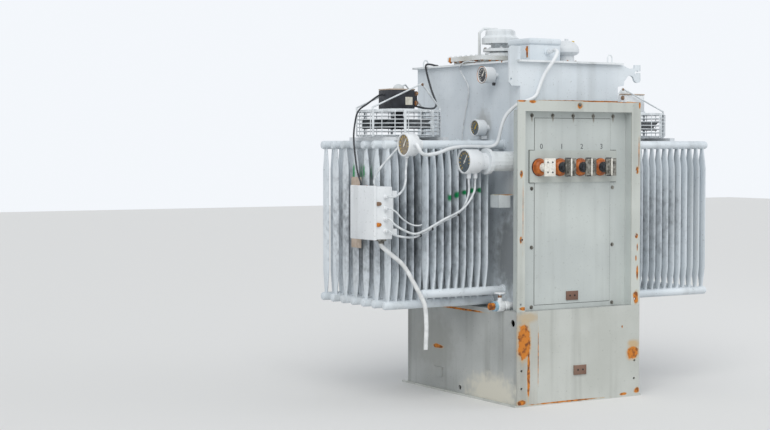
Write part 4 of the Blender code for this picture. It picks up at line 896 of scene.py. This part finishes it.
numerals = bmesh.new()
for number in range(4):
    text = bpy.data.curves.new("numeral", "FONT")
    text.body = str(number)
    text.size = 0.044
    text.extrude = 0.0004
    sign = bpy.data.objects.new("numeral", text)
    mesh = bpy.data.meshes.new_from_object(sign)
    bpy.data.objects.remove(sign)
    part = bmesh.new()
    part.from_mesh(mesh)
    bpy.data.meshes.remove(mesh)
    stand = Matrix.Translation((-0.262 + 0.153 * number, PANEL_FACE - 0.0003, 1.541))
    join(numerals, part, 0, stand @ Matrix.Rotation(math.radians(90), 4, "X"))
finish_piece("bushing_numerals", numerals, [dull_ink])

# %% [markdown]
# A fan is a low round cage of wire with a motor on top. Each ring is a small circle spun
# round, and each upright wire is one tube bent over both rims, so a whole cage stays at
# a few thousand faces. The left motor is black and the right one light grey.

# %% Fans
CAGE_RADIUS = 0.256
CAGE_LOW = 1.615
CAGE_TOP = 1.775
CAGE_ACROSS = 0.043
WIRE = 0.0028


def fan(side, node, motor_finish):
    """The cage, the blades, the motor and the hangers of one fan."""
    middle = Vector((side * 0.895, CAGE_ACROSS, 0))
    seat = Matrix.Translation(middle)
    bm = bmesh.new()
    for step in range(7):
        join(bm, ring(CAGE_RADIUS, 1.624 + 0.0235 * step, WIRE), 0, seat)
    for radius in (0.07, 0.11, 0.15, 0.19, 0.23):
        for height in (CAGE_LOW, CAGE_TOP):
            join(bm, ring(radius, height, WIRE, 32, 5), 0, seat)
    for step in range(20):
        turn = seat @ Matrix.Rotation(math.tau * step / 20, 4, "Z")
        run = [(0.06, 0, CAGE_TOP), (0.246, 0, CAGE_TOP), (0.2585, 0, CAGE_TOP - 0.012),
               (0.2585, 0, CAGE_LOW + 0.012), (0.246, 0, CAGE_LOW), (0.06, 0, CAGE_LOW)]
        join(bm, tube([Vector(place) for place in run], WIRE, 1), 0, turn)
    for step in range(8):
        turn = seat @ Matrix.Rotation(math.tau * (step + 0.5) / 8, 4, "Z")
        join(bm, block((0.256, -0.008, CAGE_LOW), (0.261, 0.008, CAGE_TOP), 0.001, 1), 0, turn)
    join(bm, turned([(0.225, CAGE_TOP - 0.006), (0.252, CAGE_TOP - 0.006), (0.252, CAGE_TOP),
                     (0.225, CAGE_TOP), (0.225, CAGE_TOP - 0.006)], 48), 0, seat)
    hub = turned([(0, 1.66), (0.05, 1.66), (0.055, 1.67), (0.055, 1.72), (0.03, 1.74), (0.03, 1.775),
                  (0, 1.775)], 24)
    join(bm, hub, 1, seat)
    for step in range(5):
        blade = bmesh.new()
        bmesh.ops.create_grid(blade, x_segments=4, y_segments=2, size=0.5)
        bmesh.ops.scale(blade, vec=(0.18, 0.12, 1), verts=blade.verts)
        bmesh.ops.solidify(blade, geom=blade.faces[:], thickness=0.003)
        bmesh.ops.rotate(blade, cent=(0, 0, 0), matrix=Matrix.Rotation(math.radians(30), 3, "X"),
                         verts=blade.verts)
        turn = Matrix.Rotation(math.tau * step / 5, 4, "Z")
        join(bm, blade, 2, seat @ turn @ Matrix.Translation((0.135, 0, 1.695)))
    finish_piece(f"fan_{node}_cage_wire", bm, [cage_white, black_enamel, dull_ink],
                 [f"fan_{node}_cage"])

    bm = bmesh.new()
    lows = sorted((middle.x + side * 0.098, middle.x - side * 0.075))
    join(bm, block((lows[0], -0.03, 1.785), (lows[1], 0.118, 1.898), 0.006), 0)
    join(bm, block((lows[0], -0.032, 1.898), (lows[1], 0.118, 1.906), 0.002), 1)
    join(bm, block((lows[0], -0.032, 1.778), (lows[1], 0.118, 1.786), 0.002), 4)
    flank = sorted((middle.x - side * 0.074, middle.x - side * 0.096))
    join(bm, block((flank[0], -0.024, 1.795), (flank[1], 0.11, 1.892), 0.004), 0)
    for rise in (1.878, 1.82):
        bolt(bm, (middle.x - side * 0.086, -0.024, rise), FORWARD, 0.01, 2)
    plate_x = -0.89 if side < 0 else 0.84
    join(bm, block((plate_x, -0.0325, 1.808), (plate_x + 0.05, -0.0295, 1.856), 0.0006, 1), 3)
    dome = turned([(0, 0), (0.034, 0), (0.033, 0.012), (0.026, 0.024), (0.013, 0.031), (0, 0.033)],
                  24)
    join(bm, dome, 4, Matrix.Translation((middle.x + 0.03, 0.09, 1.906)))
    finish_piece(f"fan_{node}_motor_dressed", bm,
                 [motor_finish, tan_strip, rusty_steel, cream_plate, cage_white],
                 [f"fan_{node}_motor"])

    bm = bmesh.new()
    for across in (-0.052, 0.138):
        run = [(side * 1.135, across, 1.778), (side * 1.135, across, 1.79),
               (side * 0.785, across, 1.938), (side * 0.655, across, 1.79),
               (side * 0.655, across, 1.778)]
        join(bm, tube([Vector(place) for place in run], 0.0062, 2), 0)
    bolt(bm, (side * 0.785, -0.058, 1.932), FORWARD, 0.006, 1)
    finish_piece(f"fan_{node}_hanger_rods", bm, [cage_white, rusty_steel],
                 [f"fan_{node}_hanger"])


fan(-1, "left", black_enamel)
fan(1, "right", fitting_paint)

# %% [markdown]
# The junction box is a folded box with a lift-off door. Its seam is a real step, its
# glands are turned nuts, and two small rusty clips hold the door.

# %% Junction box
bm = bmesh.new()
join(bm, block((-1.266, -0.3195, 1.012), (-1.16, -0.042, 1.32), 0.004), 0)
join(bm, block((-1.283, -0.3225, 1.007), (-1.264, -0.039, 1.325), 0.005, 3), 0)
for height in (1.26, 1.192, 1.131, 1.061):
    nut = turned([(0, 0), (0.015, 0), (0.015, 0.008), (0.0125, 0.01), (0.0125, 0.02), (0.009, 0.026),
                  (0, 0.026)], 12)
    join(bm, nut, 0, facing((-1.208, -0.3195, height), FORWARD))
for height in (1.22, 1.098):
    join(bm, block((-1.268, -0.329, height - 0.012), (-1.25, -0.319, height + 0.012), 0.003), 1)
    bolt(bm, (-1.244, -0.3195, height), FORWARD, 0.007, 1)
for across in (-0.28, -0.18, -0.08):
    bolt(bm, (-1.25, across, 1.32), UPWARD, 0.006, 1)
join(bm, block((-1.236, -0.29, 0.999), (-1.18, -0.24, 1.012), 0.004), 3)
join(bm, block((-1.1605, 0.045, 0.94), (-1.155, 0.16, 1.37), 0.001, 1), 2)
finish_piece("junction_box_dressed", bm, [fitting_paint, rusty_steel, tan_strip, old_silver],
             ["junction_box"])

# %% [markdown]
# On the cover stand a terminal box with a rolled lid, a pressure relief dome, and the
# bolts of the hand hole, white on top and rusty below.

# %% Cover fittings
bm = bmesh.new()
join(bm, block((-0.205, -0.373, 2.075), (0.024, -0.146, 2.18), 0.004), 0)
join(bm, block((-0.207, -0.375, 2.075), (0.026, -0.144, 2.079), 0.001, 1), 0)
elbow = turned([(0, 0), (0.021, 0), (0.021, 0.006), (0.016, 0.008), (0.016, 0.022), (0, 0.022)], 20)
join(bm, elbow, 0, facing((-0.0796, -0.373, 2.136), FORWARD))
join(bm, block((-0.209, -0.35, 2.1), (-0.204, -0.335, 2.17), 0.002), 1)
bolt(bm, (-0.209, -0.3425, 2.15), LEFTWARD, 0.007, 1)
finish_piece("cover_box_dressed", bm, [tank_paint, rusty_steel], ["cover_box"])
bm = block((-0.213, -0.381, 2.179), (0.032, -0.138, 2.219), 0.014, 4)
finish_piece("cover_box_lid_dressed", bm, [tank_paint], ["cover_box_lid"])

bm = bmesh.new()
relief = [(0, 0), (0.072, 0), (0.072, 0.012), (0.05, 0.014), (0.048, 0.05), (0.066, 0.056),
          (0.08, 0.07), (0.08, 0.088), (0.074, 0.108), (0.055, 0.13), (0.03, 0.142), (0.012, 0.146),
          (0.012, 0.156), (0, 0.157)]
join(bm, turned(relief, 48), 0, Matrix.Translation((0.164, -0.253, 2.075)))
for step in range(6):
    angle = math.tau * step / 6
    place = (0.164 + 0.062 * math.cos(angle), -0.253 + 0.062 * math.sin(angle), 2.087)
    bolt(bm, place, UPWARD, 0.006, 1)
join(bm, turned([(0, 0), (0.01, 0), (0.01, 0.014), (0, 0.016)], 14), 2,
     Matrix.Translation((0.214, -0.253, 2.205)))
finish_piece("relief_dome", bm, [fitting_paint, rusty_steel, yellow_mark],
             ["relief_device"])

bm = bmesh.new()
FLANGE_TOP = 2.124
FLANGE_UNDER = 2.096
for share in range(8):
    x = -0.352 + 0.056 * share
    for y in (-0.07, 0.284):
        bolt(bm, (x, y, FLANGE_TOP), UPWARD, 0.008, 0)
        bolt(bm, (x, y, FLANGE_UNDER), DOWNWARD, 0.0085, 1)
for share in range(1, 6):
    y = -0.07 + 0.059 * share
    for x in (-0.355, 0.048):
        bolt(bm, (x, y, FLANGE_TOP), UPWARD, 0.008, 0)
        bolt(bm, (x, y, FLANGE_UNDER), DOWNWARD, 0.0085, 1)
CAP_CENTRE = Vector((-0.118, 0.067, 0))
for step in range(8):
    angle = math.tau * (step + 0.3) / 8
    place = CAP_CENTRE + Vector((0.095 * math.cos(angle), 0.095 * math.sin(angle), 2.177))
    bolt(bm, place, UPWARD, 0.008, 1 if step % 3 == 0 else 0)
finish_piece("cover_bolts", bm, [fitting_paint, rusty_steel])

# %% [markdown]
# The drain valve is turned in one run along its pipe, with a pale blue ring and a rusty
# end. Its hand wheel is a small ring with four spokes on a stem.

# %% Drain valve
VALVE_ACROSS = -0.463
VALVE_LEVEL = 0.597
bm = bmesh.new()
body = turned([(0, 0), (0.02, 0), (0.02, 0.058), (0.029, 0.06), (0.029, 0.082), (0.024, 0.086),
               (0.033, 0.098), (0.033, 0.134), (0.025, 0.14), (0.025, 0.144), (0, 0.144)], 24)
join(bm, body, 0, facing((-0.374, VALVE_ACROSS, VALVE_LEVEL), LEFTWARD))
blue = turned([(0, 0.144), (0.031, 0.144), (0.031, 0.162), (0, 0.162)], 24)
join(bm, blue, 1, facing((-0.374, VALVE_ACROSS, VALVE_LEVEL), LEFTWARD))
plug = turned([(0, 0.162), (0.022, 0.162), (0.022, 0.192), (0.018, 0.195), (0, 0.195)], 8)
join(bm, plug, 2, facing((-0.374, VALVE_ACROSS, VALVE_LEVEL), LEFTWARD))
stem = turned([(0, 0), (0.014, 0), (0.014, 0.05), (0.007, 0.052), (0.007, 0.082), (0, 0.082)], 16)
join(bm, stem, 0, Matrix.Translation((-0.49, VALVE_ACROSS, VALVE_LEVEL)))
join(bm, turned([(0, 0), (0.012, 0), (0.012, 0.014), (0, 0.014)], 6), 2,
     Matrix.Translation((-0.49, VALVE_ACROSS, VALVE_LEVEL + 0.05)))
wheel = Matrix.Translation((-0.49, VALVE_ACROSS, VALVE_LEVEL + 0.078))
join(bm, ring(0.031, 0, 0.0042, 32, 8), 0, wheel)
for step in range(4):
    spoke = block((0, -0.0028, -0.002), (0.031, 0.0028, 0.002), 0.001, 1)
    join(bm, spoke, 0, wheel @ Matrix.Rotation(math.tau * step / 4, 4, "Z"))
finish_piece("drain_valve_dressed", bm, [fitting_paint, blue_ring, rusty_steel],
             ["drain_valve"])

# %% [markdown]
# Thin leads cross the walls: a capillary down the side, the two black fan cables, and a
# spare lead that ends bare beside the box. Black ties hold the gauge leads together.

# %% Small leads
lead("wall_capillary", [
    (0.14, 0.59, 2.083), (0.064, 0.64, 2.087), (0.058, 0.7, 2.062), (0.072, 0.718, 2.03),
    (0.086, 0.66, 1.945), (0.086, 0.649, 1.882), (0.086, 0.686, 1.758), (0.086, 0.717, 1.63),
    (0.086, 0.717, 1.592)], None, 0.0042)
lead("fan_cover_cable", [
    (0.17, 1.133, 2.084), (0.068, 1.103, 2.089), (0.058, 1.098, 2.05), (0.068, 1.052, 1.924),
    (0.058, 0.981, 1.837), (-0.032, 0.863, 1.8), (-0.172, 0.733, 1.792), (-0.272, 0.673, 1.8),
    (-0.332, 0.663, 1.81)], None, 0.0065, boot_rubber)
lead("fan_box_cable", [
    (-0.527, 0.663, 1.87), (-0.562, 0.663, 1.865), (-0.64, 0.663, 1.815), (-0.705, 0.663, 1.77),
    (-0.732, 0.658, 1.7), (-0.747, 0.648, 1.594), (-0.757, 0.593, 1.42), (-0.76, 0.543, 1.34),
    (-0.76, 0.543, 1.32)], None, 0.0055, boot_rubber)
lead("spare_lead", [
    (-0.7399, 0.2675, 1.192), (-0.7399, 0.24, 1.192), (-0.71, 0.228, 1.176), (-0.66, 0.226, 1.13),
    (-0.6, 0.23, 1.098), (-0.55, 0.236, 1.09), (-0.522, 0.238, 1.094)], None, 0.0045)
bm = bmesh.new()
for index in (20, 24, 31):
    way = level_path[index + 1] - level_path[index]
    collar = turned([(0.009, -0.003), (0.015, -0.003), (0.015, 0.003), (0.009, 0.003),
                     (0.009, -0.003)], 16)
    join(bm, collar, 0, facing(level_path[index], way))
finish_piece("lead_ties", bm, [boot_rubber])
